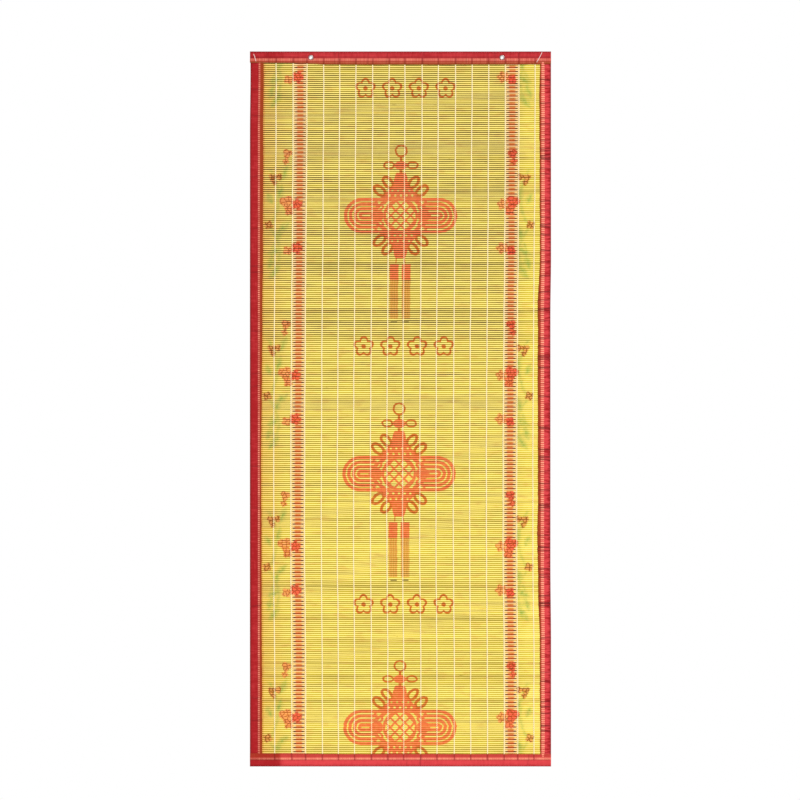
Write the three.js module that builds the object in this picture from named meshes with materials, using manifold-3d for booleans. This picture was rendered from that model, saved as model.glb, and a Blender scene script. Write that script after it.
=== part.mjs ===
// Split-bamboo door curtain, hung by two eyelets in its top binding.
// A mat of flat bamboo splints is tied by pairs of warp yarns, and a cloth tape is folded over each of
// its four edges. The curtain hangs in the XZ plane and its printed face looks towards -Y.
// Millimetres, +Z up. The origin is the middle of the top edge, so the curtain reaches down from z = 0.
import * as THREE from "three";
import { mergeVertices } from "three/addons/utils/BufferGeometryUtils.js";
import Module from "manifold-3d";

// Overall size
const WIDTH = 800;
const HEIGHT = 1900;
const CLEARANCE = 0.3;

// Bamboo mat: splints lie across the curtain, one below the other
const SPLINT_PITCH = 5.45;
const SPLINT_FACE = 4.0;
const SPLINT_GAP = 0.75;
const SPLINT_THICKNESS = 1.5;
const SPLINT_COUNT = 340;
const TIE_WEB = 0.5;
const MAT_TOP = -23.6;
const MAT_END_INSET = 2.7;

// Warp yarns: the gaps from each line to the next, uneven, and closer at the two printed bands
const WARP_FIRST_X = -337;
const WARP_GAPS = [45.5, 36.5, 44.5, 42.5, 43, 45, 43.5, 42, 45.5, 43, 46, 43.5, 44.5, 44.5, 36, 43];
const WARP_WIDTH = 3.2;
const WARP_THICKNESS = 0.8;
const WARP_START_DROP = 1.8;
const WARP_STEPS = 9;

// Binding tape: folded double outside the mat, then opened over the mat's edge as two legs
const CLOTH = 1.0;
const LAYER_GAP = 0.3;
const FOLD_ROUND = 0.6;
const SHOULDER_RUN = 2.5;
const SIDE_STEPS = 32;
const BINDING_LAP_END = 25;
const PUCKER_FADE = 60;

// One row for each binding: width of the doubled hem, whole width, half gap between the legs,
// height of its puckers, length of one pucker and depth of the waves along its inner edge
const MAT_HALF = SPLINT_THICKNESS / 2;
const LEG_GAP_OVER_MAT = MAT_HALF + CLEARANCE;
const LEG_GAP_OVER_SIDES = LEG_GAP_OVER_MAT + CLOTH + CLEARANCE + 0.05;
const BINDINGS = {
  top: { hem: 22.3, width: 34, legGap: LEG_GAP_OVER_SIDES, pucker: 0.35, repeat: 0, wave: 1.2 },
  bottom: { hem: 20.3, width: 33, legGap: LEG_GAP_OVER_SIDES, pucker: 0.35, repeat: 0, wave: 0.6 },
  left: { hem: 20.5, width: 31.2, legGap: LEG_GAP_OVER_MAT, pucker: 0.25, repeat: 190, wave: 0.5 },
  right: { hem: 21.5, width: 29.9, legGap: LEG_GAP_OVER_MAT, pucker: 0.5, repeat: 104, wave: 0.5 },
};

// Eyelets: rolled metal rings through both layers of the top binding
const EYELET_X = { left: -238, right: 270 };
const EYELET_Z = -16.2;
const EYELET_HOLE_RADIUS = 3.7;
const EYELET_BARREL_RADIUS = 4.3;
const EYELET_FLANGE_RADIUS = 6.3;
const EYELET_FLANGE_HEIGHT = 0.9;
const EYELET_LIP = 0.4;
const EYELET_SIDES = 24;

// The way it hangs: the warp lines lean, and the curtain draws in on the right and bows a little
const LEAN_AT_TOP = 6.4;
const LEAN_REACH = 1180;
const LEAN_AT_FOOT = 2.7;
const LEAN_AT_FOOT_STARTS = [1300, 1640];
const LEFT_EDGE_LEAN = 1.4;
const LEFT_EDGE_LEAN_ENDS = [60, 210];
const WAIST_ON_RIGHT = 1.7;
const WAIST_STARTS = [540, 700];
const WAIST_ENDS = [1360, 1580];

// How much more of a side binding shows: on the left at its top and its foot, on the right at the waist
const LEFT_EXTRA_AT_TOP = 4.2;
const LEFT_EXTRA_AT_TOP_ENDS = [300, 1050];
const LEFT_EXTRA_AT_FOOT = 1.4;
const LEFT_EXTRA_AT_FOOT_STARTS = [1450, 1800];
const RIGHT_EXTRA_AT_WAIST = 3.9;
const BOW_FORWARD = 4;
const CURL_FORWARD = 2;
const CURL_START = 0.5;

const materials = {
  bamboo: new THREE.MeshStandardMaterial({ color: 0xe6cd5c, roughness: 0.55, metalness: 0 }),
  cloth: new THREE.MeshStandardMaterial({ color: 0xc0282e, roughness: 0.6, metalness: 0 }),
  yarn: new THREE.MeshStandardMaterial({ color: 0xfdeaa0, roughness: 0.9, metalness: 0 }),
  nickel: new THREE.MeshStandardMaterial({ color: 0xd2cdc8, roughness: 0.3, metalness: 1 }),
};

const wasm = await Module();
wasm.setup();

function smooth(from, to, value) {
  const t = THREE.MathUtils.clamp((value - from) / (to - from), 0, 1);
  return t * t * (3 - 2 * t);
}

// How far the warp lines have slipped to the right at a height.
function lean(z) {
  const atTop = LEAN_AT_TOP * (1 - smooth(0, LEAN_REACH, -z));
  return atTop + LEAN_AT_FOOT * smooth(...LEAN_AT_FOOT_STARTS, -z);
}

// How far the curtain hangs forward (towards -Y) or back at a height.
function sway(z) {
  const drop = -z / HEIGHT;
  const bow = (BOW_FORWARD * (1 - Math.cos(2 * Math.PI * drop))) / 2;
  return -bow - CURL_FORWARD * smooth(CURL_START, 1, drop);
}

// How much of the right edge's waist is reached at a height, from 0 to 1.
function waist(z) {
  return smooth(...WAIST_STARTS, -z) * (1 - smooth(...WAIST_ENDS, -z));
}

function leftEdge(z) {
  return -WIDTH / 2 + LEFT_EDGE_LEAN * (1 - smooth(...LEFT_EDGE_LEAN_ENDS, -z));
}

function rightEdge(z) {
  return WIDTH / 2 - WAIST_ON_RIGHT * waist(z);
}

const extraWidth = {
  left: (z) =>
    LEFT_EXTRA_AT_TOP * (1 - smooth(...LEFT_EXTRA_AT_TOP_ENDS, -z)) +
    LEFT_EXTRA_AT_FOOT * smooth(...LEFT_EXTRA_AT_FOOT_STARTS, -z),
  right: (z) => RIGHT_EXTRA_AT_WAIST * waist(z),
};

const matBottom = MAT_TOP - SPLINT_COUNT * SPLINT_PITCH + SPLINT_GAP;

// Where each warp line would be with no lean.
function warpPositions() {
  const positions = [WARP_FIRST_X];
  for (const gap of WARP_GAPS) positions.push(positions.at(-1) + gap);
  return positions;
}

// A closed solid between two matching grids of points, the two faces of one sheet.
function sheetSolid(face, back) {
  const rows = face.length;
  const columns = face[0].length;
  const count = rows * columns;
  const points = [...face.flat(), ...back.flat()];
  const onFace = (row, column) => row * columns + column;
  const onBack = (row, column) => count + row * columns + column;
  const index = [];
  const quad = (a, b, c, d) => index.push(a, b, c, a, c, d);
  for (let row = 0; row < rows - 1; row += 1) {
    for (let column = 0; column < columns - 1; column += 1) {
      quad(onFace(row, column), onFace(row + 1, column), onFace(row + 1, column + 1), onFace(row, column + 1));
      quad(onBack(row, column), onBack(row, column + 1), onBack(row + 1, column + 1), onBack(row + 1, column));
    }
    const last = columns - 1;
    quad(onFace(row, 0), onBack(row, 0), onBack(row + 1, 0), onFace(row + 1, 0));
    quad(onFace(row, last), onFace(row + 1, last), onBack(row + 1, last), onBack(row, last));
  }
  for (let column = 0; column < columns - 1; column += 1) {
    const last = rows - 1;
    quad(onFace(0, column), onFace(0, column + 1), onBack(0, column + 1), onBack(0, column));
    quad(onFace(last, column), onBack(last, column), onBack(last, column + 1), onFace(last, column + 1));
  }
  if (signedVolume(points, index) < 0) index.reverse();
  const geometry = new THREE.BufferGeometry().setFromPoints(points);
  geometry.setIndex(index);
  return geometry;
}

function signedVolume(points, index) {
  let sum = 0;
  for (let i = 0; i < index.length; i += 3) {
    const [a, b, c] = [points[index[i]], points[index[i + 1]], points[index[i + 2]]];
    sum += a.dot(new THREE.Vector3().crossVectors(b, c));
  }
  return sum / 6;
}

// The mat is one ribbed sheet: each splint is a flat rib, and a thin web in each gap stands for its ties.
function matGeometry() {
  const profile = [];
  for (let splint = 0; splint < SPLINT_COUNT; splint += 1) {
    const middle = MAT_TOP - (SPLINT_PITCH - SPLINT_GAP) / 2 - splint * SPLINT_PITCH;
    profile.push({ z: middle + SPLINT_FACE / 2, half: MAT_HALF });
    profile.push({ z: middle - SPLINT_FACE / 2, half: MAT_HALF });
    if (splint < SPLINT_COUNT - 1) profile.push({ z: middle - SPLINT_PITCH / 2, half: TIE_WEB / 2 });
  }
  const ends = [
    (z) => leftEdge(z) + BINDINGS.left.hem + MAT_END_INSET,
    (z) => rightEdge(z) - BINDINGS.right.hem - MAT_END_INSET,
  ];
  const grid = (side) =>
    ends.map((end) => profile.map(({ z, half }) => new THREE.Vector3(end(z), sway(z) + side * half, z)));
  return sheetSolid(grid(-1), grid(1));
}

// One warp line: a yarn down the front of the mat, under its lowest splint and up its back.
function warpGeometry(x) {
  const nearHalf = MAT_HALF + CLEARANCE;
  const farHalf = nearHalf + WARP_THICKNESS;
  const start = MAT_TOP - WARP_START_DROP;
  const heights = [];
  for (let step = 0; step <= WARP_STEPS; step += 1) {
    heights.push(THREE.MathUtils.lerp(start, matBottom, step / WARP_STEPS));
  }
  const surface = (half, underMat) => {
    const down = heights.map((z, i) => ({ z: i === WARP_STEPS ? z - underMat : z, side: -half }));
    const up = down.map(({ z }) => ({ z, side: half })).reverse();
    return [...down, ...up].map(({ z, side }) =>
      [-1, 1].map((edge) => {
        const across = x + lean(z) + (edge * WARP_WIDTH) / 2;
        return new THREE.Vector3(across, sway(z) + side, z);
      }),
    );
  };
  return sheetSolid(surface(farHalf, CLEARANCE + WARP_THICKNESS), surface(nearHalf, CLEARANCE));
}

// The tape's section from the front leg, over the fold and down the back leg. u runs inwards from the
// curtain's edge, y is the depth from the mat's middle, and inset moves from the outer to the inner face.
function tapeSection(binding, puff, ripple, inset) {
  const leg = binding.legGap + CLOTH - inset + puff;
  const hem = LAYER_GAP / 2 + CLOTH - inset;
  const front = [
    { u: binding.width + ripple, y: -leg },
    { u: binding.hem + SHOULDER_RUN, y: -leg },
    { u: binding.hem, y: -hem },
    { u: inset + FOLD_ROUND, y: -hem },
  ];
  const back = front.map(({ u, y }) => ({ u, y: -y })).reverse();
  return [...front, { u: inset, y: 0 }, ...back];
}

// A binding is its tape's section carried along one edge. place turns a station, u and y into a point.
function bindingGeometry(binding, stations, place) {
  const grid = (inset) =>
    stations.map(({ at, puff, ripple }) =>
      tapeSection(binding, puff, ripple, inset).map(({ u, y }) => place(at, u, y)),
    );
  return sheetSolid(grid(0), grid(CLOTH));
}

const edgeHeights = { top: 0, bottom: -HEIGHT };

// Stations of the top and bottom bindings: drawn in at each warp line and puffed out between them.
function stationsAcross(binding, side) {
  const slip = lean(edgeHeights[side]);
  const edges = [-WIDTH / 2, ...warpPositions().map((x) => x + slip), WIDTH / 2];
  const ripple = (x) => binding.wave * Math.cos((Math.PI * x) / WIDTH);
  const stations = [{ at: edges[0], puff: 0, ripple: ripple(edges[0]) }];
  for (let i = 1; i < edges.length; i += 1) {
    const middle = (edges[i - 1] + edges[i]) / 2;
    stations.push({ at: middle, puff: binding.pucker, ripple: ripple(middle) });
    stations.push({ at: edges[i], puff: 0, ripple: ripple(edges[i]) });
  }
  return stations;
}

// Stations of the side bindings: uneven puckers that die out where the ends go under the top and bottom.
function stationsDown(binding, side) {
  const top = -BINDING_LAP_END;
  const bottom = -HEIGHT + BINDING_LAP_END;
  const stations = [];
  for (let step = 0; step <= SIDE_STEPS; step += 1) {
    const z = THREE.MathUtils.lerp(top, bottom, step / SIDE_STEPS);
    const fade = smooth(0, PUCKER_FADE, Math.min(top - z, z - bottom));
    const phase = (2 * Math.PI * z) / binding.repeat;
    const lift = 0.5 + 0.3 * Math.sin(phase) + 0.2 * Math.sin(2.3 * phase);
    const ripple = binding.wave * fade * Math.sin(0.7 * phase) + extraWidth[side](z);
    stations.push({ at: z, puff: binding.pucker * fade * lift, ripple });
  }
  return stations;
}

const placers = {
  top: (x, u, y) => new THREE.Vector3(x, sway(edgeHeights.top) + y, edgeHeights.top - u),
  bottom: (x, u, y) => new THREE.Vector3(x, sway(edgeHeights.bottom) + y, edgeHeights.bottom + u),
  left: (z, u, y) => new THREE.Vector3(leftEdge(z) + u, sway(z) + y, z),
  right: (z, u, y) => new THREE.Vector3(rightEdge(z) - u, sway(z) + y, z),
};

function solidFrom(geometry) {
  const bare = geometry.clone();
  bare.deleteAttribute("normal");
  bare.deleteAttribute("uv");
  const merged = mergeVertices(bare);
  const vertProperties = new Float32Array(merged.attributes.position.array);
  const triVerts = new Uint32Array(merged.index.array);
  return new wasm.Manifold(new wasm.Mesh({ numProp: 3, vertProperties, triVerts }));
}

function geometryFrom(solid) {
  const { vertProperties, triVerts } = solid.getMesh();
  const geometry = new THREE.BufferGeometry();
  geometry.setAttribute("position", new THREE.BufferAttribute(vertProperties, 3));
  geometry.setIndex(new THREE.BufferAttribute(triVerts, 1));
  return geometry;
}

// The top binding with a round hole through both layers at each eyelet.
function piercedTopBinding() {
  let solid = solidFrom(bindingGeometry(BINDINGS.top, stationsAcross(BINDINGS.top, "top"), placers.top));
  const punchRadius = EYELET_BARREL_RADIUS + CLEARANCE;
  for (const x of Object.values(EYELET_X)) {
    const punch = new THREE.CylinderGeometry(punchRadius, punchRadius, BINDINGS.top.width, EYELET_SIDES);
    punch.translate(x, 0, EYELET_Z);
    solid = solid.subtract(solidFrom(punch));
  }
  return geometryFrom(solid);
}

// An eyelet's half section, from the hole out over the front flange, down the barrel to the back flange.
// The front flange is rolled and the back one is flat where it rests on the door frame.
function eyeletGeometry() {
  const seat = LAYER_GAP / 2 + CLOTH + CLEARANCE;
  const rim = seat + EYELET_FLANGE_HEIGHT;
  const hole = EYELET_HOLE_RADIUS;
  const flange = EYELET_FLANGE_RADIUS;
  const outline = [
    [hole, -rim + EYELET_LIP],
    [hole + EYELET_LIP, -rim],
    [flange - 2 * EYELET_LIP, -rim],
    [flange, -rim + 1.5 * EYELET_LIP],
    [flange, -seat],
    [EYELET_BARREL_RADIUS, -seat],
    [EYELET_BARREL_RADIUS, seat],
    [flange, seat],
    [flange, rim],
    [hole + EYELET_LIP, rim],
    [hole, rim - EYELET_LIP],
    [hole, -rim + EYELET_LIP],
  ];
  const profile = outline.map(([radius, depth]) => new THREE.Vector2(radius, depth));
  return new THREE.LatheGeometry(profile, EYELET_SIDES);
}

function piece(name, geometry, material) {
  const mesh = new THREE.Mesh(geometry, material);
  mesh.name = name;
  return mesh;
}

const curtain = new THREE.Group();
curtain.add(piece("bamboo_mat", matGeometry(), materials.bamboo));

const warps = new THREE.Group();
warpPositions().forEach((x, line) => {
  const number = String(line + 1).padStart(2, "0");
  warps.add(piece(`warp_${number}`, warpGeometry(x), materials.yarn));
});
curtain.add(warps);

const bindings = new THREE.Group();
bindings.add(piece("binding_top", piercedTopBinding(), materials.cloth));
const plainStations = { bottom: stationsAcross, left: stationsDown, right: stationsDown };
for (const [side, stationsFor] of Object.entries(plainStations)) {
  const binding = BINDINGS[side];
  const geometry = bindingGeometry(binding, stationsFor(binding, side), placers[side]);
  bindings.add(piece(`binding_${side}`, geometry, materials.cloth));
}
curtain.add(bindings);

for (const [side, x] of Object.entries(EYELET_X)) {
  const eyelet = piece(`eyelet_${side}`, eyeletGeometry(), materials.nickel);
  eyelet.position.set(x, 0, EYELET_Z);
  curtain.add(eyelet);
}

export default curtain;
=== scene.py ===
"""Split-bamboo door curtain: printed splints on twined yarns, satin bindings, seams and eyelets.

Laid out as an add-on and run as a script. Lengths in the code are millimetres unless a name says
otherwise, x runs to the right, depth runs down from the curtain's top edge, and the printed face
looks towards -y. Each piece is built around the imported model, which is loaded first as a fixed frame.
"""
import math

import bmesh
import bpy
import numpy as np
from mathutils import Matrix, Vector


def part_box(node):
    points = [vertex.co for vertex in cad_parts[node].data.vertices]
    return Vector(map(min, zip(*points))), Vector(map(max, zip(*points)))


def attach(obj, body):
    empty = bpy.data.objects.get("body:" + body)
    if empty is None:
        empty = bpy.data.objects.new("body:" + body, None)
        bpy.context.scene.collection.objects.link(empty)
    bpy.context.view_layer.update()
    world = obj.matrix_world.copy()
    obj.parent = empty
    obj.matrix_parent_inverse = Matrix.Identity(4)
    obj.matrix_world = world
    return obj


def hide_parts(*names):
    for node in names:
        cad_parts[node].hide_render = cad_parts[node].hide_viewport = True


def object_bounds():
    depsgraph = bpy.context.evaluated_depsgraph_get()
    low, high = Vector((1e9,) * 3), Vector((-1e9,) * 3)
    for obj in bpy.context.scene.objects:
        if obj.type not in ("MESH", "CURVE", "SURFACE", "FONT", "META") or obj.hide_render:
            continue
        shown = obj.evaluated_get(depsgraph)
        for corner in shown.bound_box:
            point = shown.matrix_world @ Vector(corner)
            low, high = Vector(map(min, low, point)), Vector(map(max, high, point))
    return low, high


bl_info = {
    "name": "Split-bamboo door curtain",
    "version": (1, 0, 0),
    "blender": (4, 5, 0),
    "location": "3D View > Sidebar > Curtain",
    "description": "Builds a printed bamboo door curtain with satin bindings",
    "category": "Add Mesh",
}

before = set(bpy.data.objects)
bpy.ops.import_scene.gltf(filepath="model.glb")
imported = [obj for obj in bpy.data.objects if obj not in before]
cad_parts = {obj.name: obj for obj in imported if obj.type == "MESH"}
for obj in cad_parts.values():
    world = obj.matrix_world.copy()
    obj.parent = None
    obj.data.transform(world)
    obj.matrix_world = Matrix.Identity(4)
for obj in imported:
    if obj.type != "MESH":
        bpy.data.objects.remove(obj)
CAD_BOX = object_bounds()
MM = 0.001
SEED = 7

# Overall size, read from the frame
WIDTH = (CAD_BOX[1][0] - CAD_BOX[0][0]) / MM
HEIGHT = (CAD_BOX[1][2] - CAD_BOX[0][2]) / MM

# The way the curtain hangs: slipped to the right at its top and foot, drawn in on the right, bowed forward
LEAN_AT_TOP = 6.4
LEAN_REACH = 1180
LEAN_AT_FOOT = 2.7
LEAN_AT_FOOT_STARTS = (1300, 1640)
LEFT_EDGE_LEAN = 1.4
LEFT_EDGE_LEAN_ENDS = (60, 210)
WAIST_ON_RIGHT = 1.7
WAIST_STARTS = (540, 700)
WAIST_ENDS = (1360, 1580)
BOW_FORWARD = 4
CURL_FORWARD = 2
CURL_START = 0.5

# How much more of a side binding shows: on the left at its top and foot, less at its narrow place, and on
# the right at the waist
LEFT_EXTRA_AT_TOP = 4.2
LEFT_EXTRA_AT_TOP_ENDS = (300, 1050)
LEFT_EXTRA_AT_FOOT = 1.4
LEFT_EXTRA_AT_FOOT_STARTS = (1450, 1800)
LEFT_NARROW = dict(by=1.2, depth=1130, reach=140)
RIGHT_EXTRA_AT_WAIST = 3.9

# Mat of splints. They are of one height, except in wider stretches that each push the rest down by half
# a splint. A stretch is given by its depths on the two lines across which it was measured, and runs on
# past them by a share of their distance.
FIRST_SPLINT = 29.4
SPLINT_COUNT = 344
WIDE_STRETCHES = (
    (159, 124), (265, 254), (392, 377), (940, 935), (1214, 1076), (1397, 1238), (1610, 1503), (1782, 1798),
)
WIDE_LINES = (-142, 163)
WIDE_LINES_REACH = (-0.3, 1.3)
WIDE_REACH = 55
WIDE_BY = 2.66
SPLINT_STATIONS = 20
MAT_INSET = {"left": 23.2, "right": 24.2}

# How uneven the splints are, as the most to either side: place, tilt and wander of the middle line, depth
# and its wave, height and thickness as shares, and slip of the print
UNEVEN = dict(
    place=0.02, tilt=0.03, wander=0.02, depth=0.12, wave=0.15, height=0.006, thickness=0.12, slip=0.7,
)

# Tones of the splints: how far they spread, the least and the most, the share of odd splints and how much
# darker those are, and how much darker the upper ones are, down to a depth
TONE = dict(spread=0.5, least=-1, most=1.6, odd_share=0.05, odd=1.4, upper=0.5, upper_end=1300)

# How much shade and dust are painted in the grooves: at the top, how much less between two depths, how uneven
# along a splint and from splint to splint, and how much less along the right binding. Streaks are grooves
# that stand open over a hand's width and get more painted shade: how much more, how much less between two
# depths, and the share of them.
GROOVE = dict(
    top=0.85, less=0.34, fades=(250, 1500), along=(0.8, 1.2), each=0.3, right=0.55, right_at=(290, 350),
)
STREAK = dict(darker=0.45, less=0.75, fades=(600, 1200), share=0.045)

# Warp lines: spaced by hand, and closer on each side of the two printed bands. Then where a yarn's stations
# lie between two splints, how far it runs past the outermost splints, how it wanders sideways, how far its
# twining swings it sideways and how flat that leaves it on a splint.
WARP_FIRST_X = -337
WARP_GAPS = (45.5, 36.5, 44.5, 42.5, 43, 45, 43.5, 42, 45.5, 43, 46, 43.5, 44.5, 44.5, 36, 43)
WARP_COUNT = len(WARP_GAPS) + 1
YARN_CROSSING = (0.34, 0.5, 0.66)
YARN_END = 0.3
YARN_WANDER = dict(by=0.5, pitch=60)
YARN_SWING = 0.45
YARN_FLAT = 2.2
YARN_SIDES = 5
YARN_PIECES = 3

# One row for each binding.
# hem and width: the doubled hem and the whole tape. ridge and flange: how far the ridge and the inner
# flange stand off the mat's middle. crest: width of the ridge. pucker and repeat: how far the ridge
# puckers, and the length of one pucker. wave: depth of the waves along the inner edge. creases: number of
# cross creases. step: distance between places along the tape. shine: how much brighter light is
# painted on the satin. outer: how much less light is painted on its outer half. pale: how strong the
# painted highlight on the ridge is. beads: how far the seam parts that highlight into beads. rust:
# how much rust-brown shade is painted on the flange. sewn: how much shade is painted along the line of
# sewing beside the ridge. gathered: how strongly the tape is gathered, and how strongly the light and shade
# of its gathers are painted. pulled: how much less of an across binding shows at its left end.
BINDINGS = {
    "top": dict(
        hem=18.4, width=34.0, ridge=3.3, flange=2.7, crest=6.2, pucker=0.35, repeat=7.0, wave=1.2, creases=10,
        step=2.7, shine=0.4, outer=0.1, pale=0.64, beads=0.12, rust=0.85, sewn=0.5, gathered=0.35, pulled=3.8,
    ),
    "bottom": dict(
        hem=17.6, width=33.0, ridge=3.4, flange=2.7, crest=4.6, pucker=0.25, repeat=12.0, wave=0.6, creases=3,
        step=2.7, shine=0.95, outer=0.2, pale=1.0, beads=0.08, rust=0.45, sewn=0.0, gathered=0.3, pulled=-1.8,
    ),
    "left": dict(
        hem=21.0, width=31.2, ridge=2.4, flange=1.75, crest=3.6, pucker=0.35, repeat=5.4, wave=0.4,
        creases=14, step=2.7, shine=0.06, outer=0.05, pale=0.95, beads=0.6, rust=1.0, sewn=0.0, gathered=0.4,
    ),
    "right": dict(
        hem=16.8, width=29.9, ridge=2.7, flange=1.8, crest=7.4, pucker=0.75, repeat=9.4, wave=1.3, creases=70,
        step=2.0, shine=0.85, outer=0.5, pale=1.35, beads=0.75, rust=0.95, sewn=0.1, gathered=1.8,
    ),
}
# Distance from the top and from the foot at which a side binding ends, inside the across ones
SIDE_LAP_END = 25

# Eyelets: their nodes, how far the cloth under them stands off the curtain's middle, the radii between which
# it rises again, share of the radius that is open, wall of the barrel, play of the barrel in its hole,
# height of a flange, how much flatter the back one is, points round the ring and over a flange, and facets
# and length of the punch that makes the hole
EYELETS = ("eyelet_left", "eyelet_right")
EYELET_SEAT = 1.1
EYELET_PRESS_ENDS = (6.4, 9.6)
EYELET_HOLE_SHARE = 0.58
EYELET_WALL = 0.65
EYELET_PLAY = 0.05
EYELET_FLANGE = 0.95
EYELET_BACK_FLATTER = 1.6
EYELET_SEGMENTS = 72
EYELET_ARC_POINTS = 13
PUNCH_SEGMENTS = 48
PUNCH_LENGTH = 40


def linear(hex_colour):
    """Turn an sRGB hex colour into linear red, green, blue and full alpha."""
    channels = [int(hex_colour[i:i + 2], 16) / 255 for i in (1, 3, 5)]
    curve = [c / 12.92 if c <= 0.04045 else ((c + 0.055) / 1.055) ** 2.4 for c in channels]
    return (*curve, 1.0)


def colour_property(name, hex_colour, description):
    return bpy.props.FloatVectorProperty(
        name=name, description=description, default=linear(hex_colour),
        size=4, min=0, max=1, subtype="COLOR",
    )


def length_property(name, millimetres, description):
    return bpy.props.FloatProperty(
        name=name, description=description, default=millimetres * MM,
        min=0, unit="LENGTH", precision=5,
    )


class CurtainSizes(bpy.types.PropertyGroup):
    splint_pitch: length_property("Splint pitch", 5.315, "Distance between splints that lie close")
    splint_height: length_property("Splint height", 5.42, "Height of a splint that lies close")
    splint_thickness: length_property("Splint thickness", 1.5, "Depth of a splint")
    yarn_width: length_property("Yarn width", 2.9, "Width of a flattened warp yarn")
    yarn_thickness: length_property("Yarn thickness", 0.95, "Depth of a flattened warp yarn")
    tape_thickness: length_property("Tape thickness", 0.7, "Thickness of the binding's cloth")
    thread_diameter: length_property("Thread diameter", 0.55, "Thickness of the sewing thread")
    stitch_length: length_property("Stitch length", 4.6, "Length of one stitch and its gap")


class CurtainColours(bpy.types.PropertyGroup):
    ground: colour_property("Printed ground", "#E6D074", "Yellow ground printed on the splints")
    dark_ground: colour_property("Dark ground", "#8F7A2E", "Ground where a splint's own tone shows through")
    tan_ground: colour_property("Tan ground", "#CFA05A", "Ground where the yellow went on thinly")
    margin: colour_property("Margin orange", "#D0904C", "Orange that the yellow turns to beside the bindings")
    # Shade and dust are painted down in the grooves, and a fuller yellow is painted into that shade
    groove_dust_and_shade: colour_property("Groove dust and shade", "#4C3D07", "Tint of the print down in the grooves")
    groove_shade_yellow: colour_property("Groove shade yellow", "#FFFF59", "Fuller yellow where the dye ran into the grooves")
    bare_bamboo: colour_property("Bare bamboo", "#B6965A", "Unprinted sides and back of a splint")
    bare_fibre: colour_property("Bare fibre", "#7C6228", "Darker fibres of the unprinted cane")
    knot_ink: colour_property("Knot red", "#E26E46", "Orange-red of the knots' wings and filled parts")
    cord_ink: colour_property("Cord brown", "#C4642A", "Brown-orange of the knots' loops and the blossoms")
    fringe_ink: colour_property("Fringe orange", "#CC7E3A", "Orange of the tassels' fringe")
    rose_ink: colour_property("Rose coral", "#F8965E", "Light coral of the roses")
    rose_deep: colour_property("Deep rose", "#E04A42", "Full red of the roses beside the bands")
    rose_shade: colour_property("Rose shade", "#7E3E0A", "Brown lines between the petals")
    leaf_ink: colour_property("Leaf green", "#82A250", "Grey-green of the leaves and stems")
    band_light: colour_property("Band peach", "#F2CA94", "Light ground of the bands")
    band_core: colour_property("Band orange", "#DA8044", "Soft orange middle of the bands")
    band_red: colour_property("Band red", "#AC4814", "Red hearts of the rungs")
    band_dark: colour_property("Band brown", "#3E2505", "Dark ends of the rungs")
    yarn: colour_property("Warp yarn", "#E8D8AC", "Cream cotton of the warp yarns")
    yarn_soil: colour_property("Yarn soil", "#C8AE74", "Tan of the yarns' soiled places")
    satin_deep: colour_property("Deep satin", "#901217", "Binding satin in its darker light")
    satin_bright: colour_property("Bright satin", "#C03A3E", "Binding satin in its brighter light")
    # Painted shade in creases, along the sewing and the fold, in the warp ticks and round the eyelets
    satin_crease_shade: colour_property("Satin crease shade", "#4E080C", "Binding satin down in a crease")
    # Painted highlight on the ridge and its beads
    satin_highlight: colour_property("Satin highlight", "#E69878", "Rubbed, paler satin and thread on the ridge")
    # Painted shade in a rust-brown on the flange below the ridge and along its inner edge
    satin_flange_shade: colour_property("Flange shade satin", "#86340C", "Inner edge of the binding against the mat")
    thread: colour_property("Seam thread", "#C8745E", "Salmon thread of the seams")
    tacking: colour_property("Tacking thread", "#EACFC8", "Pale thread of the two loose tacks")
    nickel: colour_property("Nickel", "#BCB4B2", "Nickel plating of the eyelets")
    nickel_scuff: colour_property("Scuffed nickel", "#8C8583", "Nickel plating in its scuffs")
    floor: colour_property("Floor", "#D8D7D4", "Plain pale studio floor")


class CurtainSettings(bpy.types.PropertyGroup):
    sizes: bpy.props.PointerProperty(type=CurtainSizes)
    colours: bpy.props.PointerProperty(type=CurtainColours)


def smooth(start, end, value):
    """An eased step: 0 before the start, 1 past the end."""
    t = np.clip((value - start) / (end - start), 0, 1)
    return t * t * (3 - 2 * t)


def hump(distance, reach):
    """A soft hump: 1 where the distance is nothing, and almost 0 past twice the reach."""
    return np.exp(-((distance / reach) ** 2))


def lean(depth):
    """How far the mat has slipped to the right."""
    at_top = LEAN_AT_TOP * (1 - smooth(0, LEAN_REACH, depth))
    return at_top + LEAN_AT_FOOT * smooth(*LEAN_AT_FOOT_STARTS, depth)


def sway(depth):
    """How far the curtain hangs forward, as a negative y, or back."""
    drop = depth / HEIGHT
    bow = BOW_FORWARD * (1 - np.cos(2 * math.pi * drop)) / 2
    return -bow - CURL_FORWARD * smooth(CURL_START, 1, drop)


def waist(depth):
    """How much of the right edge's waist is reached, from 0 to 1."""
    return smooth(*WAIST_STARTS, depth) * (1 - smooth(*WAIST_ENDS, depth))


def left_edge(depth):
    return -WIDTH / 2 + LEFT_EDGE_LEAN * (1 - smooth(*LEFT_EDGE_LEAN_ENDS, depth))


def right_edge(depth):
    return WIDTH / 2 - WAIST_ON_RIGHT * waist(depth)


def extra_width(side, depth):
    """How much more of a side binding shows at a depth."""
    if side == "right":
        return RIGHT_EXTRA_AT_WAIST * waist(depth)
    at_top = LEFT_EXTRA_AT_TOP * (1 - smooth(*LEFT_EXTRA_AT_TOP_ENDS, depth))
    at_foot = LEFT_EXTRA_AT_FOOT * smooth(*LEFT_EXTRA_AT_FOOT_STARTS, depth)
    return at_top + at_foot - LEFT_NARROW["by"] * hump(depth - LEFT_NARROW["depth"], LEFT_NARROW["reach"])


def warp_positions():
    """Where each warp line crosses the middle of the curtain's height."""
    return WARP_FIRST_X + np.concatenate([[0], np.cumsum(WARP_GAPS)])


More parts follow.
